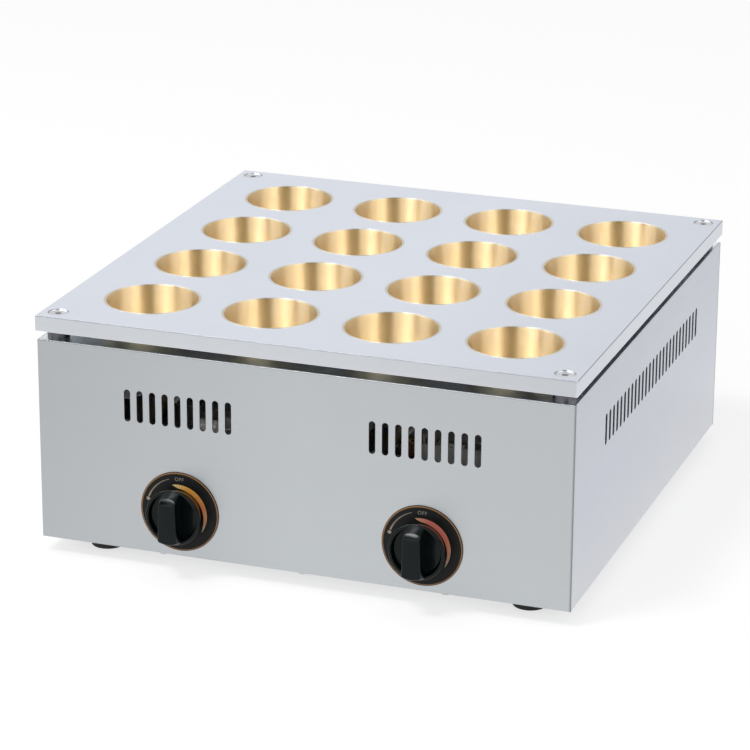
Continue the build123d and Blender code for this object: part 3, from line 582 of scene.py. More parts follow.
FOOT_RUBBER = Moulding(
    "foot_rubber", (0.016, 0.016, 0.017), (0.028, 0.028, 0.029), 0.72, 0.08,
    pebble=1500.0, pebble_depth=0.02 * MM,
)
GLAZED_CERAMIC = Moulding(
    "glazed_ceramic", (0.92, 0.91, 0.88), (0.86, 0.85, 0.81), 0.22, 0.05,
    pebble=600.0, pebble_depth=0.004 * MM, coat=0.6,
)
LEAD_SLEEVE = Moulding(
    "lead_sleeve", (0.03, 0.03, 0.032), (0.05, 0.05, 0.052), 0.55, 0.08,
    pebble=1800.0, pebble_depth=0.01 * MM,
)
RIM_INK = PrintedInk(
    "rim_ink", [(0.0, (0.34, 0.17, 0.06)), (0.5, (0.26, 0.13, 0.05)), (1.0, (0.34, 0.17, 0.06))]
)
CREAM_INK = PrintedInk(
    "cream_ink", [(0.0, (0.22, 0.20, 0.17)), (0.75, (0.25, 0.20, 0.15)), (1.0, (0.42, 0.33, 0.24))]
)
FLAME_INKS = {
    "left": PrintedInk(
        "flame_ink_left",
        [(0.0, (0.80, 0.62, 0.30)), (0.22, (0.75, 0.36, 0.05)), (0.6, (0.70, 0.23, 0.07)),
         (0.85, (0.72, 0.36, 0.20)), (1.0, (0.75, 0.60, 0.45))],
    ),
    "right": PrintedInk(
        "flame_ink_right",
        [(0.0, (0.62, 0.32, 0.20)), (0.22, (0.58, 0.16, 0.12)), (0.6, (0.62, 0.19, 0.12)),
         (0.85, (0.68, 0.34, 0.22)), (1.0, (0.72, 0.58, 0.45))],
    ),
}


# Building pieces


class Workpiece:
    """A mesh in the making that ends as one object at the origin."""

    def __init__(self, name: str) -> None:
        """Start an empty mesh.

        Args:
            name: The finished piece's name.
        """
        self.name = name
        self.mesh = bmesh.new()

    def turn(
        self, outline: Outline, centre: Point, axis: Axis = Axis.Z, steps: int = 96
    ) -> "Workpiece":
        """Spin a closed outline of radius and height round an axis, and point its faces outwards.

        Args:
            outline: Points of radius and height in millimetres, round from the axis to the axis.
            centre: Where height zero lies, in millimetres.
            axis: The axis to spin round, Y or Z.
            steps: Facets in a full turn.

        Returns:
            The workpiece itself.
        """
        place = Vector(centre) * MM
        along, outward = Vector(axis.value), Vector(Axis.X.value)
        corners = [
            self.mesh.verts.new(place + outward * (radius * MM) + along * (height * MM))
            for radius, height in outline
        ]
        runs = [self.mesh.edges.new(pair) for pair in zip(corners, corners[1:])]
        if outline[0][0] > 0 and outline[-1][0] > 0:
            runs.append(self.mesh.edges.new((corners[-1], corners[0])))
        bmesh.ops.spin(
            self.mesh, geom=corners + runs, cent=place, axis=along, dvec=(0, 0, 0),
            angle=math.tau, steps=steps, use_merge=True, use_duplicate=False,
        )
        bmesh.ops.remove_doubles(self.mesh, verts=self.mesh.verts, dist=MERGE)
        self.close()
        return self

    def close(self) -> None:
        """Point every face outwards."""
        bmesh.ops.recalc_face_normals(self.mesh, faces=self.mesh.faces)

    def to_data(self, name: str) -> bpy.types.Mesh:
        """Write the mesh to Blender data and free it here.

        Args:
            name: The data's name.

        Returns:
            The data.
        """
        data = bpy.data.meshes.new(name)
        self.mesh.to_mesh(data)
        self.mesh.free()
        return data

    def finish(
        self, materials: list[Material], body: str, slot: str, *replaced: str,
        smooth_below: float = 32.0,
    ) -> bpy.types.Object:
        """Write the mesh to an object and fix it to its CAD body.

        Args:
            materials: The materials that the faces' indices name.
            body: The CAD body that the piece rides on.
            slot: The record's material slot; not used.
            replaced: CAD nodes that the piece stands for.
            smooth_below: Edges that turn by less than this many degrees are shaded smooth.

        Returns:
            The finished object.
        """
        for face in self.mesh.faces:
            face.smooth = True
        data = self.to_data(self.name)
        for material in materials:
            data.materials.append(material)
        data.set_sharp_from_angle(angle=math.radians(smooth_below))
        piece = placed(self.name, data)
        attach(piece, body)
        if replaced:
            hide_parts(*replaced)
        LOG.info("%s: %d faces", self.name, len(data.polygons))
        return piece


def arc(
    centre: tuple[float, float], radius: float, start: float, end: float, steps: int
) -> Outline:
    """Return points along an arc, in an outline's radius and height.

    Args:
        centre: The arc's centre.
        radius: The arc's radius.
        start: The angle of its first point, in degrees from the outward direction.
        end: The angle of its last point.
        steps: How many runs the arc has.

    Returns:
        The points, both ends among them.
    """
    angles = [math.radians(start + (end - start) * step / steps) for step in range(steps + 1)]
    return [(centre[0] + radius * math.cos(a), centre[1] + radius * math.sin(a)) for a in angles]


def rod(radius: float, start: float, end: float) -> Outline:
    """Return a plain rod's section between two heights."""
    return [(0.0, start), (radius, start), (radius, end), (0.0, end)]


def to_front(outline: Outline) -> Outline:
    """Return an outline whose heights are counted from the middle towards the front."""
    return [(radius, -height) for radius, height in outline]


def combined(first: Workpiece, second: Workpiece, way: Join) -> Workpiece:
    """Return the union, cut or overlap of two closed workpieces as the first one.

    Args:
        first: The piece that is kept and changed.
        second: The piece that it is joined with or cut by.
        way: How they are made into one.

    Returns:
        The first workpiece, with the result as its mesh.
    """
    raw = []
    for work in (first, second):
        name = work.name + "_raw"
        raw.append(placed(name, work.to_data(name)))
    cut = raw[0].modifiers.new("combine", "BOOLEAN")
    cut.operation = way.value
    cut.solver = "EXACT"
    cut.object = raw[1]
    graph = bpy.context.evaluated_depsgraph_get()
    first.mesh = bmesh.new()
    first.mesh.from_mesh(raw[0].evaluated_get(graph).to_mesh())
    for item in raw:
        bpy.data.objects.remove(item)
    return first


# Sub-assemblies


@dataclass
class CupSet:
    """The turned brass cups, each a shell with a rounded lip."""

    rows: int = 4
    pitch: float = 102.5
    radius: float = 37.5
    wall: float = 1.5
    depth: float = 29.0
    floor: float = 2.0
    corner: float = 3.0
    flare: float = 0.6
    flare_edge: float = 0.1
    lip: float = 0.4
    top: float = 203.0
    ring_shares: tuple[float, ...] = (0.75, 0.5, 0.25, 0.1)
    corner_steps: int = 8
    lip_steps: int = 6
    steps: int = 128

    WALL_MAP = "wall"

    def outline(self) -> Outline:
        """Return the cup's section, from the middle of its floor to that of its underside.

        Returns:
            The section, with height zero at the cup's top.
        """
        outer = self.radius + self.wall
        under = -self.depth - self.floor
        turned = self.corner + self.wall
        corner = (self.radius - self.corner, self.corner - self.depth)
        return [
            (0.0, -self.depth), (self.radius / 2, -self.depth),
            *arc(corner, self.corner, -90, 0, self.corner_steps),
            *((self.radius, -self.depth * share) for share in self.ring_shares),
            *arc((self.radius + self.lip, -self.lip), self.lip, 180, 90, self.lip_steps),
            (outer + self.flare - self.flare_edge, 0.0), (outer + self.flare, -self.flare_edge),
            (outer, -self.flare), (outer, under + turned),
            *arc((outer - turned, under + turned), turned, 0, -90, self.corner_steps),
            (0.0, under),
        ]

    def map_wall(self, work: Workpiece, centre: Vector) -> None:
        """Give a cup a map of its turn and its height, both unwrapped round its own axis.

        Args:
            work: The cup's mesh.
            centre: The middle of its hole, in metres.
        """
        layer = work.mesh.loops.layers.uv.new(self.WALL_MAP)
        for face in work.mesh.faces:
            middle = face.calc_center_median() - centre
            facing = math.atan2(middle.y, middle.x)
            for loop in face.loops:
                arm = loop.vert.co - centre
                turn = math.atan2(arm.y, arm.x) if arm.xy.length > ON_AXIS else facing
                lag = (turn - facing + math.pi) % math.tau - math.pi
                run = (arm.z - arm.xy.length) / (self.depth * MM)
                loop[layer].uv = ((facing + lag) / math.tau, run)

    def build(self, material: Material) -> None:
        """Build every cup and let it stand for its CAD node.

        Args:
            material: The cups' finish.
        """
        middle = (self.rows - 1) / 2
        for row in range(self.rows):
            for column in range(self.rows):
                centre = ((column - middle) * self.pitch, (row - middle) * self.pitch, self.top)
                node = f"cup_r{row + 1}_c{column + 1}"
                work = Workpiece("brass_" + node).turn(self.outline(), centre, steps=self.steps)
                self.map_wall(work, Vector(centre) * MM)
                work.finish([material], "root", "cups", node)


@dataclass
class PlateScrews:
    """Countersunk socket screws, sunk a little below the plate's face."""

    reach: float = 211.0
    head_top: float = 202.0
    head_radius: float = 7.45
    head_edge: float = 0.4
    shank_radius: float = 4.0
    length: float = 30.0
    tip: float = 0.6
    socket_flat: float = 2.5
    socket_spread: float = 1.2
    socket_depth: float = 3.5
    overrun: float = 0.1
    steps: int = 64

    def build(self, material: Material) -> None:
        """Build the four screws as one piece.

        Args:
            material: The screws' finish.
        """
        work, socket = Workpiece("plate_screws_turned"), Workpiece("sockets")
        cone = self.head_radius - self.shank_radius
        outline = [
            (0.0, -self.length), (self.shank_radius - self.tip, -self.length),
            (self.shank_radius, self.tip - self.length), (self.shank_radius, -cone),
            (self.head_radius, -self.head_edge), (self.head_radius - self.head_edge, 0.0),
            (0.0, 0.0),
        ]
        for side in SIDES.values():
            for end in ENDS.values():
                centre = Vector((side * self.reach, end * self.reach, self.head_top))
                work.turn(outline, centre, steps=self.steps)
                centre.z -= self.socket_depth / 2
                bmesh.ops.create_cone(
                    socket.mesh, cap_ends=True, segments=6, radius1=self.socket_flat * MM,
                    radius2=self.socket_flat * self.socket_spread * MM,
                    depth=(self.socket_depth + 2 * self.overrun) * MM,
                    matrix=Matrix.Translation(centre * MM),
                )
        socket.close()
        work = combined(work, socket, Join.CUT)
        work.finish([material], "root", "screws", "plate_screws", smooth_below=25.0)


@dataclass
class ValvePieces:
    """Where the pieces on the two valves' axes stand, which run from front to rear."""

    reach: float = 102.5
    level: float = 51.505

    def axes(self) -> list[tuple[str, float]]:
        """Return each side's name with its axis's place along X, in millimetres."""
        return [(name, side * self.reach) for name, side in SIDES.items()]


@dataclass
class Knobs(ValvePieces):
    """Round knobs that widen towards a raised lip, dished on both sides of a grip bar."""

    back: float = 228.6
    rim: float = 240.0
    front: float = 252.0
    radius: float = 23.95
    back_radius: float = 20.3
    lip_fillet: float = 1.4
    back_fillet: float = 0.6
    dish_radius: float = 20.5
    dish_depth: float = 5.0
    dish_edge: float = 0.5
    dish_fillet: float = 2.0
    edge_steps: int = 4
    lip_steps: int = 10
    dish_steps: int = 8
    bar_width: float = 16.4
    bar_taper: float = 0.82
    bar_reach: float = 22.7
    bar_slope: float = 4.2
    bar_fillet: float = 1.0
    bar_back: float = 234.6
    bar_facets: int = 48
    flat_reach: float = 15.0
    flat_angle: float = 42.0
    bore_radius: float = 4.05
    bore_wall: float = 6.0
    bore_overrun: float = 3.0
    bore_facets: int = 48
    facets: int = 144
    overrun: float = 1.0
    front_overrun: float = 0.01
    sliver: float = 0.02
    finest: float = 0.001
    flat_within: float = 0.5
    sharp_from: float = 20.0

    def skirt_outline(self) -> Outline:
        """Return the skirt's section; height runs from the panel outwards.

        Returns:
            The section, from the middle of its back to that of its dish.
        """
        slope = math.atan2(self.radius - self.back_radius, self.rim - self.back)
        lip_level = self.rim - self.lip_fillet
        flank = self.radius - self.lip_fillet * math.tan(slope)
        lip_centre = flank - self.lip_fillet / math.cos(slope)
        dish_floor = self.rim - self.dish_depth
        tilt = -math.degrees(slope)
        back_centre = (self.back_radius - self.back_fillet, self.back + self.back_fillet)
        edge_centre = (self.dish_radius + self.dish_edge, self.rim - self.dish_edge)
        dish_centre = (self.dish_radius - self.dish_fillet, dish_floor + self.dish_fillet)
        return [
            (0.0, self.back), (back_centre[0], self.back),
            *arc(back_centre, self.back_fillet, -90, tilt, self.edge_steps)[1:],
            *arc((lip_centre, lip_level), self.lip_fillet, tilt, 90, self.lip_steps),
            *arc(edge_centre, self.dish_edge, 90, 180, self.edge_steps),
            *arc(dish_centre, self.dish_fillet, 0, -90, self.dish_steps),
            (self.dish_radius / 2, dish_floor), (0.0, dish_floor),
        ]

    def bar_block(self, x: float) -> Workpiece:
        """Return a block as wide as a knob's bar, which narrows towards the pointer's end.

        Args:
            x: The knob's place along X.

        Returns:
            The block.
        """
        work = Workpiece("bar")
        middle = Vector((x, -(self.bar_back + self.front) / 2, self.level)) * MM
        height = 2 * self.bar_reach + self.overrun
        size = Vector((self.bar_width, self.front - self.bar_back, height)) * MM
        bmesh.ops.create_cube(
            work.mesh, size=1.0, matrix=Matrix.Translation(middle) @ Matrix.Diagonal((*size, 1.0))
        )
        bmesh.ops.scale(
            work.mesh, vec=(self.bar_taper, 1, 1), space=Matrix.Translation(-middle),
            verts=[vert for vert in work.mesh.verts if vert.co.z > middle.z],
        )
        return work

    def bar_bound(self, x: float) -> Workpiece:
        """Return the cone that bounds a knob's bar, cut flat at the pointer's end.

        Args:
            x: The knob's place along X.

        Returns:
            The cone.
        """
        root, end = self.rim - self.lip_fillet, self.front + self.front_overrun
        seat = self.dish_radius + self.lip_fillet / 2
        bound = rod(seat, self.bar_back - self.overrun, root)[:3]
        bound += [(self.bar_reach, root), (self.bar_reach - self.bar_slope, end), (0.0, end)]
        work = Workpiece("bound")
        work.turn(to_front(bound), (x, 0, self.level), Axis.Y, self.bar_facets)
        tilt = math.radians(self.flat_angle)
        cut = bmesh.ops.bisect_plane(
            work.mesh, geom=[*work.mesh.verts, *work.mesh.edges, *work.mesh.faces],
            plane_co=Vector((x, -self.front, self.level + self.flat_reach)) * MM,
            plane_no=(0.0, -math.cos(tilt), math.sin(tilt)), clear_outer=True,
        )
        rim = [item for item in cut["geom_cut"] if isinstance(item, bmesh.types.BMEdge)]
        bmesh.ops.holes_fill(work.mesh, edges=rim)
        work.close()
        return work

    def grip_bar(self, x: float) -> Workpiece:
        """Return a knob's bar, rounded along its front edges.

        Args:
            x: The knob's place along X.

        Returns:
            The bar.
        """
        bar = combined(self.bar_block(x), self.bar_bound(x), Join.OVERLAP)
        bmesh.ops.remove_doubles(bar.mesh, verts=bar.mesh.verts, dist=self.sliver * MM)
        bmesh.ops.dissolve_limit(
            bar.mesh, angle_limit=math.radians(self.flat_within), verts=bar.mesh.verts,
            edges=bar.mesh.edges,
        )
        line = -(self.rim - self.lip_fillet + self.overrun) * MM
        outer = [
            edge for edge in bar.mesh.edges
            if edge.calc_face_angle(0.0) > math.radians(self.sharp_from)
            and (edge.verts[0].co.y + edge.verts[1].co.y) / 2 < line
        ]
        bmesh.ops.bevel(
            bar.mesh, geom=outer, offset=self.bar_fillet * MM, offset_type="OFFSET",
            segments=self.edge_steps, profile=0.5, affect="EDGES", material=-1,
            clamp_overlap=False,
        )
        bmesh.ops.remove_doubles(bar.mesh, verts=bar.mesh.verts, dist=self.finest * MM)
        bar.close()
        return bar

    def build(self, material: Material) -> None:
        """Build both knobs.

        Args:
            material: The knobs' finish.
        """
        hole = rod(self.bore_radius, self.back - self.bore_overrun, self.front - self.bore_wall)
        for name, x in self.axes():
            centre = (x, 0, self.level)
            work = Workpiece(f"knob_{name}_moulded")
            work.turn(to_front(self.skirt_outline()), centre, Axis.Y, self.facets)
            work = combined(work, self.grip_bar(x), Join.UNION)
            bore = Workpiece("bore").turn(to_front(hole), centre, Axis.Y, self.bore_facets)
            work = combined(work, bore, Join.CUT)
            work.finish([material], f"knob_{name}", "knobs", f"knob_{name}", smooth_below=30.0)


@dataclass
class DialMarks(ValvePieces):
    """The print on each dial: a rim line, a flame wedge, a fading arc with its dot, and OFF.

    Sizes are in millimetres, and angles in degrees from the top, clockwise from the front.
    """

    face: float = 224.8
    ink: float = 0.03
    skirt_share: float = 0.9
    rim_line: tuple[float, float] = (32.2, 33.2)
    rim_steps: int = 120
    fade_radius: float = 28.2
    fade_span: tuple[float, float] = (-18.0, -69.0)
    fade_widths: tuple[float, float] = (0.5, 1.5)
    fade_steps: int = 30
    dot_angle: float = -73.5
    dot_radius: float = 1.55
    dot_facets: int = 32
    word_height: float = 27.4
    word_size: float = 4.2
    word_spacing: float = 1.12
    word_weight: float = 0.06
    wedge_span: tuple[float, float] = (-15.0, 129.0)
    wedge_steps: int = 72
    wedge_outer: Point = (24.2, -0.6, -1.1)
    wedge_inner: Point = (24.55, -3.9, -4.4)
    wedge_taper: float = 0.08
    wedge_tip: float = 0.05

    RUN_MAP = "run"

    def face_point(self, x: float, radius: float, angle: float, lift: float) -> Vector:
        """Return a place on a dial's face, in metres.

        Args:
            x: The dial's middle, in millimetres.
            radius: Distance from it.
            angle: Degrees from the top, clockwise as seen from the front.
            lift: How far the place stands off the dial.

        Returns:
            The place in the object's frame.
        """
        turn = math.radians(angle)
        right, above = radius * math.sin(turn), radius * math.cos(turn)
        return Vector((x + right, -self.face - lift, self.level + above)) * MM

    def paint(self, work: Workpiece, faces: list[bmesh.types.BMFace], share: float) -> None:
        """Give faces the cream ink of one place on its ramp.

        Args:
            work: The mesh that has the faces.
            faces: The faces.
            share: The place on the ramp, from 0 to 1.
        """
        layer = work.mesh.loops.layers.uv.verify()
        for face in faces:
            face.material_index = Ink.CREAM.value
            for loop in face.loops:
                loop[layer].uv = (share, 0.5)

    def band(self, work: Workpiece, x: float, edges: list[Point], closed: bool, ink: Ink) -> None:
        """Add a flat raised band between two edges that run round a dial.

        Args:
            work: The mesh that takes the band.
            x: The dial's middle.
            edges: Angle, inner radius and outer radius at each step.
            closed: Whether the last step joins the first.
            ink: The band's ink.
        """
        layer = work.mesh.loops.layers.uv.verify()
        rungs = [
            [work.mesh.verts.new(self.face_point(x, radius, angle, self.ink)) for radius in radii]
            for angle, *radii in edges
        ]
        count = len(rungs)
        faces = []
        for first in range(count if closed else count - 1):
            (low, high), (next_low, next_high) = rungs[first], rungs[(first + 1) % count]
            face = work.mesh.faces.new((low, high, next_high, next_low))
            face.material_index = ink.value
            for loop, step in zip(face.loops, (first, first, first + 1, first + 1)):
                loop[layer].uv = (step / count, 0.5)
            faces.append(face)
        skirt = bmesh.ops.extrude_face_region(work.mesh, geom=faces)
        moved = [item for item in skirt["geom"] if isinstance(item, bmesh.types.BMVert)]
        depth = self.ink * self.skirt_share * MM
        bmesh.ops.translate(work.mesh, verts=moved, vec=(0, depth, 0))

    def reach_of(self, circle: Point, angle: float) -> float:
        """Return how far a circle's edge is from the dial's middle.

        Args:
            circle: The circle's radius and its centre, right of and above the dial's middle.
            angle: Degrees from the top, clockwise.

        Returns:
            The distance in millimetres.
        """
        radius, right, above = circle
        turn = math.radians(angle)
        along = right * math.sin(turn) + above * math.cos(turn)
        across = right * math.cos(turn) - above * math.sin(turn)
        return along + math.sqrt(radius**2 - across**2)

    def wedge_edges(self) -> list[Point]:
        """Return the flame wedge's edges, which run between two circles and close at its ends.

        Returns:
            Angle, inner radius and outer radius at each step.
        """
        edges = []
        start, end = self.wedge_span
        for step in range(self.wedge_steps + 1):
            share = step / self.wedge_steps
            angle = start + (end - start) * share
            outer = self.reach_of(self.wedge_outer, angle)
            inner = self.reach_of(self.wedge_inner, angle)
            opening = min(1.0, share / self.wedge_taper, (1.0 - share) / self.wedge_taper)
            width = max(self.wedge_tip, (outer - inner) * opening**0.5)
            edges.append((angle, outer - width, outer))
        return edges

    def fade_edges(self) -> list[Point]:
        """Return the edges of the arc that widens from the word to its dot.

        Returns:
            Angle, inner radius and outer radius at each step.
        """
        edges = []
        (start, end), (thin, thick) = self.fade_span, self.fade_widths
        for step in range(self.fade_steps + 1):
            share = step / self.fade_steps
            half = (thin + (thick - thin) * share) / 2
            angle = start + (end - start) * share
            edges.append((angle, self.fade_radius - half, self.fade_radius + half))
        return edges

    def word(self, x: float) -> bpy.types.Mesh:
        """Return the word OFF as a raised mesh.

        Args:
            x: The middle of its dial.

        Returns:
            The mesh, in the object's frame.
        """
        curve = bpy.data.curves.new("word", "FONT")
        curve.body = "OFF"
        curve.size = self.word_size * MM
        curve.align_x = "CENTER"
        curve.align_y = "CENTER"
        curve.space_character = self.word_spacing
        curve.extrude = self.ink / 2 * MM
        curve.offset = self.word_weight * MM
        text = placed("word", curve)
        graph = bpy.context.evaluated_depsgraph_get()
        work = Workpiece("word")
        work.mesh.from_mesh(text.evaluated_get(graph).to_mesh())
        bpy.data.objects.remove(text)
        stand = Matrix.Translation(self.face_point(x, self.word_height, 0.0, self.ink / 2))
        bmesh.ops.transform(work.mesh, matrix=stand @ UPRIGHT, verts=work.mesh.verts)
        return work.to_data("letters")

    def build(self, rim: Material, cream: Material, flames: dict[str, Material]) -> None:
        """Build the marks of both dials.

        Args:
            rim: The ink of the line at the dial's edge.
            cream: The ink of the word, the fading arc and its dot.
            flames: The ink of each side's flame wedge.
        """
        ring = [(step * 360 / self.rim_steps, *self.rim_line) for step in range(self.rim_steps)]
        for name, x in self.axes():
            work = Workpiece(f"dial_marks_{name}")
            work.mesh.loops.layers.uv.new(self.RUN_MAP)
            self.band(work, x, ring, True, Ink.RIM)
            self.band(work, x, self.fade_edges(), False, Ink.CREAM)
            self.band(work, x, self.wedge_edges(), False, Ink.FLAME)
            place = self.face_point(x, self.fade_radius, self.dot_angle, self.ink)
            dot = bmesh.ops.create_circle(
                work.mesh, cap_ends=True, segments=self.dot_facets, radius=self.dot_radius * MM,
                matrix=Matrix.Translation(place) @ UPRIGHT,
            )
            self.paint(work, list(dot["verts"][0].link_faces), 1.0)
            known = set(work.mesh.faces)
            letters = self.word(x)
            work.mesh.from_mesh(letters)
            bpy.data.meshes.remove(letters)
            self.paint(work, [face for face in work.mesh.faces if face not in known], 0.0)
            work.close()
            work.finish([rim, cream, flames[name]], "root", "dials")


@dataclass
class Feet:
    """Rubber feet with a rounded tread, a groove and a pocket for the screw."""

    reach_x: float = 181.0
    reach_y: float = 190.0
    height: float = 14.2
    top_radius: float = 15.0
    top_edge: float = 0.4
    bottom_radius: float = 14.0
    pocket_radius: float = 5.0
    pocket_depth: float = 6.0
    pocket_edge: float = 0.5
    hole_radius: float = 2.2
    edge: float = 1.0
    edge_steps: int = 6
    groove: tuple[tuple[float, float], ...] = ((0.45, 6.0), (0.15, 6.6), (0.15, 7.2), (0.6, 7.8))
    facets: int = 72

    def outline(self) -> Outline:
        """Return the foot's section; the groove stands off the bottom radius.

        Returns:
            The section, with height zero at the floor.
        """
        tread = (self.bottom_radius - self.edge, self.edge)
        return [
            (self.hole_radius, self.pocket_depth), (self.pocket_radius, self.pocket_depth),
            (self.pocket_radius, self.pocket_edge), (self.pocket_radius + self.pocket_edge, 0.0),
            *arc(tread, self.edge, -90, 0, self.edge_steps),
            *((self.bottom_radius + out, height) for out, height in self.groove),
            (self.top_radius, self.height - self.top_edge),
            (self.top_radius - self.top_edge, self.height), (self.hole_radius, self.height),
        ]

    def build(self, material: Material) -> None:
        """Build the four feet.

        Args:
            material: The feet's finish.
        """
        for end_name, end in ENDS.items():
            for side_name, side in SIDES.items():
                node = f"foot_{end_name}_{side_name}"
                centre = (side * self.reach_x, end * self.reach_y, 0.0)
                work = Workpiece(node + "_moulded").turn(self.outline(), centre, steps=self.facets)
                work.finish([material], "root", "feet", node)


@dataclass
class GasInlet:
    """The brass fitting at the rear, with a cut thread and a chamfered hexagon."""

    x: float = 175.0
    level: float = 81.005
    inner_end: float = 196.0
    inner_chamfer: float = 0.6
    inner_thread: float = 2.0
    wall: float = 224.0
    wall_gap: float = 1.5
    undercut: float = 1.2
    hex_length: float = 12.0
    hex_flat: float = 13.5
    hex_chamfer: tuple[float, float] = (0.4, 1.4)
    tip: float = 252.0
    tip_chamfer: float = 1.0
    radius: float = 10.48
    bore: float = 7.5
    bore_chamfer: float = 0.6
    bore_start: float = 220.0
    bore_end: float = 249.0
    pitch: float = 1.81
    thread_depth: float = 0.75
    ridge: tuple[float, ...] = (0.1, 0.42, 0.58, 0.9)
    socket_radius: float = 8.65
    socket_end: float = 212.0
    facets: int = 96

    def outline(self) -> Outline:
        """Return the fitting's section, with the thread as ridges of its real pitch.

        Returns:
            The section, round from the inner end over the tip and back through the bore.
        """
        hex_end = self.wall + self.hex_length
        return [
            (self.socket_radius, self.inner_end),
            (self.radius - self.inner_chamfer, self.inner_end),
            (self.radius, self.inner_end + self.inner_chamfer),
            *self.thread(self.inner_end + self.inner_thread, self.wall - self.wall_gap),
            (self.radius, self.wall - self.undercut), (self.radius, hex_end),
            (self.radius - self.thread_depth, hex_end + self.undercut),
            *self.thread(hex_end + self.undercut, self.tip - self.tip_chamfer),
            (self.radius, self.tip - self.tip_chamfer), (self.radius - self.tip_chamfer, self.tip),
            (self.bore + self.bore_chamfer, self.tip), (self.bore, self.tip - self.bore_chamfer),
            (self.bore, self.socket_end), (self.socket_radius, self.socket_end),
        ]

    def thread(self, start: float, end: float) -> Outline:
        """Return the section of all the thread's turns between two places along the fitting.

        Args:
            start: Where the first turn starts.
            end: What the last one ends before.

        Returns:
            The points.
        """
        root = self.radius - self.thread_depth
        radii = (root, self.radius, self.radius, root)
        points = []
        place = start
        while place + self.pitch < end:
            points += [(r, place + self.pitch * share) for r, share in zip(radii, self.ridge)]
            place += self.pitch
        return points

    def hexagon(self) -> Workpiece:
        """Return the hexagon with its corners turned to a chamfer.

        Returns:
            The hexagon.
        """
        across = self.hex_flat / math.cos(math.pi / 6)
        middle = Vector((self.x, self.wall + self.hex_length / 2, self.level)) * MM
        work = Workpiece("hexagon")
        bmesh.ops.create_cone(
            work.mesh, cap_ends=True, segments=6, radius1=across * MM, radius2=across * MM,
            depth=self.hex_length * MM, matrix=Matrix.Translation(middle) @ UPRIGHT,
        )
        work.close()
        inward, back = self.hex_chamfer
        end = self.wall + self.hex_length
        section = rod(across, self.wall, end - back)[:3]
        section += [(self.hex_flat - inward, end), (0.0, end)]
        round_off = Workpiece("round_off")
        round_off.turn(section, (self.x, 0, self.level), Axis.Y, self.facets)
        return combined(work, round_off, Join.OVERLAP)

    def build(self, material: Material) -> None:
        """Build the fitting.

        Args:
            material: Its brass.
        """
        centre = (self.x, 0, self.level)
        work = Workpiece("gas_inlet_threaded").turn(self.outline(), centre, Axis.Y, self.facets)
        work = combined(work, self.hexagon(), Join.UNION)
        hole = rod(self.bore, self.bore_start, self.bore_end)
        bore = Workpiece("bore").turn(hole, centre, Axis.Y, self.facets)
        work = combined(work, bore, Join.CUT)
        work.finish([material], "root", "valve_brass", "gas_inlet", smooth_below=25.0)


@dataclass
class ValveSprings(ValvePieces):
    """Coil springs in the valve plugs, built at one length."""

    front: float = 207.75
    seat: float = 192.05
    coil_radius: float = 5.1
    wire_radius: float = 0.4
    wire_facets: int = 10
    turns: float = 5.73
    steps: int = 138
    push: float = 3.05

    def build(self, material: Material) -> None:
        """Build both springs, each fixed at its seat.

        Args:
            material: The springs' steel.
        """
        length = self.front - self.seat
        climb = (length - 2 * self.wire_radius) / self.steps
        for name, x in self.axes():
            work = Workpiece(f"valve_spring_{name}_coil")
            start = (x + self.coil_radius, self.wire_radius - self.front, self.level)
            bmesh.ops.create_circle(
                work.mesh, cap_ends=False, segments=self.wire_facets,
                radius=self.wire_radius * MM, matrix=Matrix.Translation(Vector(start) * MM),
            )
            bmesh.ops.spin(
                work.mesh, geom=[*work.mesh.verts, *work.mesh.edges],
                cent=Vector((x, 0, self.level)) * MM, axis=Axis.Y.value,
                dvec=(0, climb * MM, 0), angle=math.tau * self.turns, steps=self.steps,
                use_merge=False, use_duplicate=False,
            )
            ends = [edge for edge in work.mesh.edges if edge.is_boundary]
            bmesh.ops.holes_fill(work.mesh, edges=ends)
            work.close()
            piece = work.finish(
                [material], f"plug_{name}", "plain_steel", f"valve_spring_{name}",
                smooth_below=40.0,
            )
            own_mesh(piece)


@dataclass
class Dressing:
    """Finishes for the CAD pieces that stay in view, three of them shared with built pieces."""

    brass: Material
    plain_steel: Material
    screw_steel: Material

    def plan(self) -> list[tuple[Material, list[str]]]:
        """Return each finish with the CAD pieces that take it.

        Returns:
            Pairs of a material and the pieces' names.
        """
        posts = [f"corner_post_{end}_{side}" for end in ENDS for side in SIDES]
        valves = [*both("valve_body"), *both("valve_plug"), "injectors", "inlet_lock_nut"]
        burners = [*both("burner_header"), *both("air_shutter"), "pilot_burners"]
        return [
            (GROUND_STEEL.build(), ["heating_plate"]),
            (FRONT_SHEET.build(), ["front_panel", "rear_panel"]),
            (SIDE_SHEET.build(), ["left_side_panel", "right_side_panel"]),
            (BASE_SHEET.build(), ["base_panel", *posts]),
            (self.plain_steel, ["burner_rails", *both("valve_stem")]),
            (DARK_STEEL.build(), ["plate_spacers"]),
            (self.screw_steel, ["casing_screws", "foot_screws"]),
            (self.brass, valves),
            (ZINC_PIPE.build(), ["gas_manifold"]),
            (BURNER_STEEL.build(), burners),
            (HeatedSteel().build(), ["burner_tubes"]),
            (COPPER_TUBE.build(), ["pilot_tubes"]),
            (GLAZED_CERAMIC.build(), ["ignition_electrodes"]),
            (LEAD_SLEEVE.build(), ["ignition_leads"]),
            (DIAL_PAINT.build(), both("dial")),
        ]

    def build(self) -> None:
        """Put each finish on its pieces."""
        for material, names in self.plan():
            for name in names:
                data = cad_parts[name].data
                data.materials.clear()
                data.materials.append(material)
            LOG.info("%s on %s", material.name, ", ".join(names))


# Studio


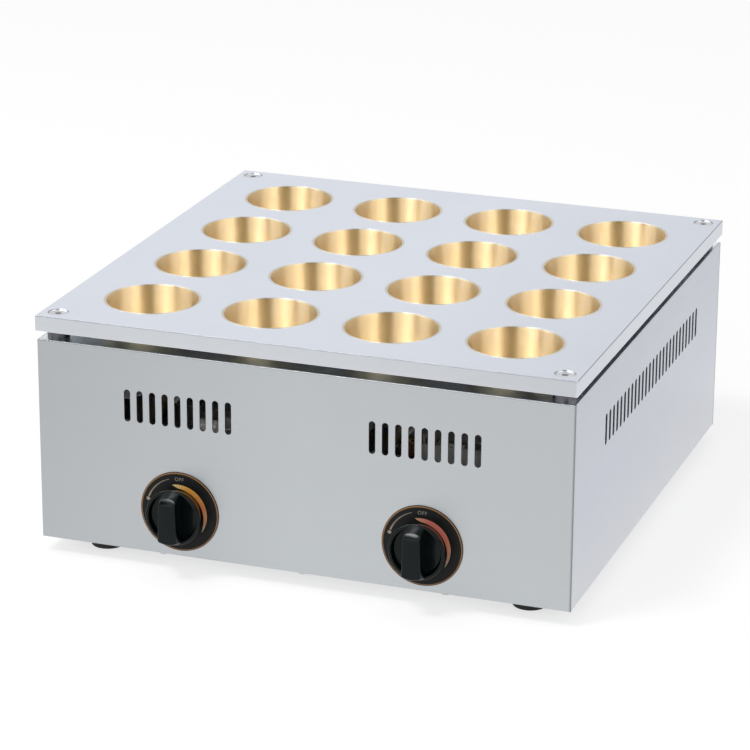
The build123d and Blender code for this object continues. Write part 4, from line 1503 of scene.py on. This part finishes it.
def staged_plane(name: str, size: float, stand: Matrix) -> tuple[bpy.types.Object, NodeGraph]:
    """Build a plane that isn't part of the object.

    Args:
        name: The plane's name.
        size: Half its side before it is placed.
        stand: How it is stretched, turned and placed.

    Returns:
        The plane, and its material's empty graph.
    """
    work = Workpiece(name)
    bmesh.ops.create_grid(work.mesh, x_segments=1, y_segments=1, size=size, matrix=stand)
    data = work.to_data(name)
    material = bpy.data.materials.new(name)
    material.use_nodes = True
    material.node_tree.nodes.clear()
    data.materials.append(material)
    plane = placed(name, data)
    return plane, NodeGraph(material.node_tree)


@dataclass(frozen=True)
class Lamp:
    """A rectangular soft lamp that faces the object, in metres and watts."""

    name: str
    place: Point
    width: float
    height: float
    power: float
    aim: Point = (0.0, 0.0, 0.1)

    def build(self) -> None:
        """Add the lamp to the scene."""
        light = bpy.data.lights.new(self.name, "AREA")
        light.shape = "RECTANGLE"
        light.size, light.size_y = self.width, self.height
        light.energy = self.power
        holder = placed(self.name, light)
        holder.location = self.place
        holder.rotation_mode = "QUATERNION"
        aim = Vector(self.aim) - Vector(self.place)
        holder.rotation_quaternion = aim.to_track_quat("-Z", "Y")


@dataclass(frozen=True)
class Card:
    """A tall card beside the object that only reflections see, in metres.

    Its azimuth is in degrees, 0 being the front, and a level of 0 is black and 1 white.
    """

    name: str
    azimuth: float
    width: float
    level: float
    foot: float = 0.0
    top: float = 9.0
    distance: float = 3.0

    def build(self) -> None:
        """Stand the card in the scene."""
        turn = math.radians(self.azimuth)
        middle = (self.foot + self.top) / 2
        across, behind = math.sin(turn) * self.distance, -math.cos(turn) * self.distance
        stand = Matrix.Translation((across, behind, middle)) @ Matrix.Rotation(turn, 4, "Z")
        size = Matrix.Diagonal((self.width, self.top - self.foot, 1.0, 1.0))
        card, graph = staged_plane(self.name, 0.5, stand @ (UPRIGHT @ size))
        card.visible_camera = False
        card.visible_diffuse = False
        card.visible_shadow = False
        glow = graph.node("Emission", {"Strength": self.level})
        graph.node("OutputMaterial", {"Surface": glow.outputs["Emission"]})


@dataclass
class Studio:
    """Pale floor, white room, two soft lamps, two dark cards, two white ones and the camera."""

    floor_half: float = 12.0
    floor_colour: Colour = (0.40, 0.40, 0.40)
    floor_glow: float = 0.66
    room_level: float = 0.62
    sensor: float = 36.0
    lens: float = 158.576
    clip: tuple[float, float] = (0.05, 60.0)
    azimuth: float = 19.543
    elevation: float = 19.47
    roll: float = 0.343
    distance: float = 2.7604
    across: float = -0.016085
    upward: float = -0.09166
    aim_height: float = 0.203
    fittings: tuple[Lamp | Card, ...] = (
        Lamp("soft_key", (-1.2, -1.6, 3.65), 1.1, 0.8, 48.0),
        Lamp("soft_front", (-0.45, -3.1, 1.6), 3.4, 1.6, 19.0),
        Card("card_right_of_camera", 34.0, 2.0, 0.0),
        Card("card_left_of_camera", -43.0, 0.85, 0.1),
        Card("white_card_right", 82.0, 3.0, 2.8, 1.5),
        Card("white_card_left", -74.0, 2.2, 3.8, 1.5),
    )

    def seen(self, graph: NodeGraph, level: float) -> Socket:
        """Return a level that holds for camera, glossy and transmission rays and is 0 for others.

        Args:
            graph: The graph that takes the nodes.
            level: The level.

        Returns:
            Its socket.
        """
        path = graph.node("LightPath").outputs
        seen = graph.maths(Maths.LARGEST, path["Is Camera Ray"], path["Is Glossy Ray"])
        seen = graph.maths(Maths.LARGEST, seen, path["Is Transmission Ray"])
        return graph.maths(Maths.MULTIPLY, seen, level)

    def floor(self) -> None:
        """Build the floor, white to the camera and dimmed by the object's shadow."""
        graph = staged_plane("studio_floor", self.floor_half, Matrix())[1]
        matte = graph.node("BsdfDiffuse", {"Color": self.floor_colour})
        glow = graph.node("Emission", {"Strength": self.seen(graph, self.floor_glow)})
        total = graph.node("AddShader", {0: matte.outputs["BSDF"], 1: glow.outputs["Emission"]})
        graph.node("OutputMaterial", {"Surface": total.outputs["Shader"]})

    def room(self) -> None:
        """Set a white world that lights the object at a plain level."""
        world = bpy.data.worlds.new("white_room")
        world.use_nodes = True
        graph = NodeGraph(world.node_tree)
        background = graph.tree.nodes["Background"]
        shown = self.seen(graph, 1.0 - self.room_level)
        graph.feed(background, "Color", grey(1.0))
        graph.feed(background, "Strength", graph.maths(Maths.ADD, shown, self.room_level))
        bpy.context.scene.world = world

    def camera(self) -> None:
        """Set the camera where the photograph was taken from."""
        turn, tilt, roll = (math.radians(v) for v in (self.azimuth, self.elevation, self.roll))
        back = Vector((
            math.sin(turn) * math.cos(tilt), -math.cos(turn) * math.cos(tilt), math.sin(tilt)
        ))
        right = Vector((math.cos(turn), math.sin(turn), 0.0))
        up = back.cross(right)
        aim = Vector((0.0, 0.0, self.aim_height))
        place = aim + back * self.distance + right * self.across + up * self.upward
        rolled_right = right * math.cos(roll) + up * math.sin(roll)
        rolled_up = up * math.cos(roll) - right * math.sin(roll)
        data = bpy.data.cameras.new("photo_camera")
        data.sensor_width = self.sensor
        data.lens = self.lens
        data.clip_start, data.clip_end = self.clip
        camera = placed("photo_camera", data)
        rows = Matrix((rolled_right, rolled_up, back)).transposed().to_4x4()
        camera.matrix_world = Matrix.Translation(place) @ rows
        bpy.context.scene.camera = camera

    def build(self) -> None:
        """Build the whole studio."""
        self.floor()
        self.room()
        for fitting in self.fittings:
            fitting.build()
        self.camera()
        bpy.context.scene.view_settings.view_transform = "Standard"


def main() -> None:
    """Build the looks."""
    logging.basicConfig(level=logging.INFO, format="%(name)s: %(message)s")
    brass, plain_steel, screw_steel = (f.build() for f in (VALVE_BRASS, PLAIN_STEEL, SCREW_STEEL))
    Dressing(brass, plain_steel, screw_steel).build()
    CupSet().build(TurnedBrass().build())
    PlateScrews().build(screw_steel)
    Knobs().build(KNOB_PLASTIC.build())
    flames = {name: ink.build() for name, ink in FLAME_INKS.items()}
    DialMarks().build(RIM_INK.build(), CREAM_INK.build(), flames)
    Feet().build(FOOT_RUBBER.build())
    GasInlet().build(brass)
    ValveSprings().build(plain_steel)
    Studio().build()


if __name__ == "__main__":
    main()
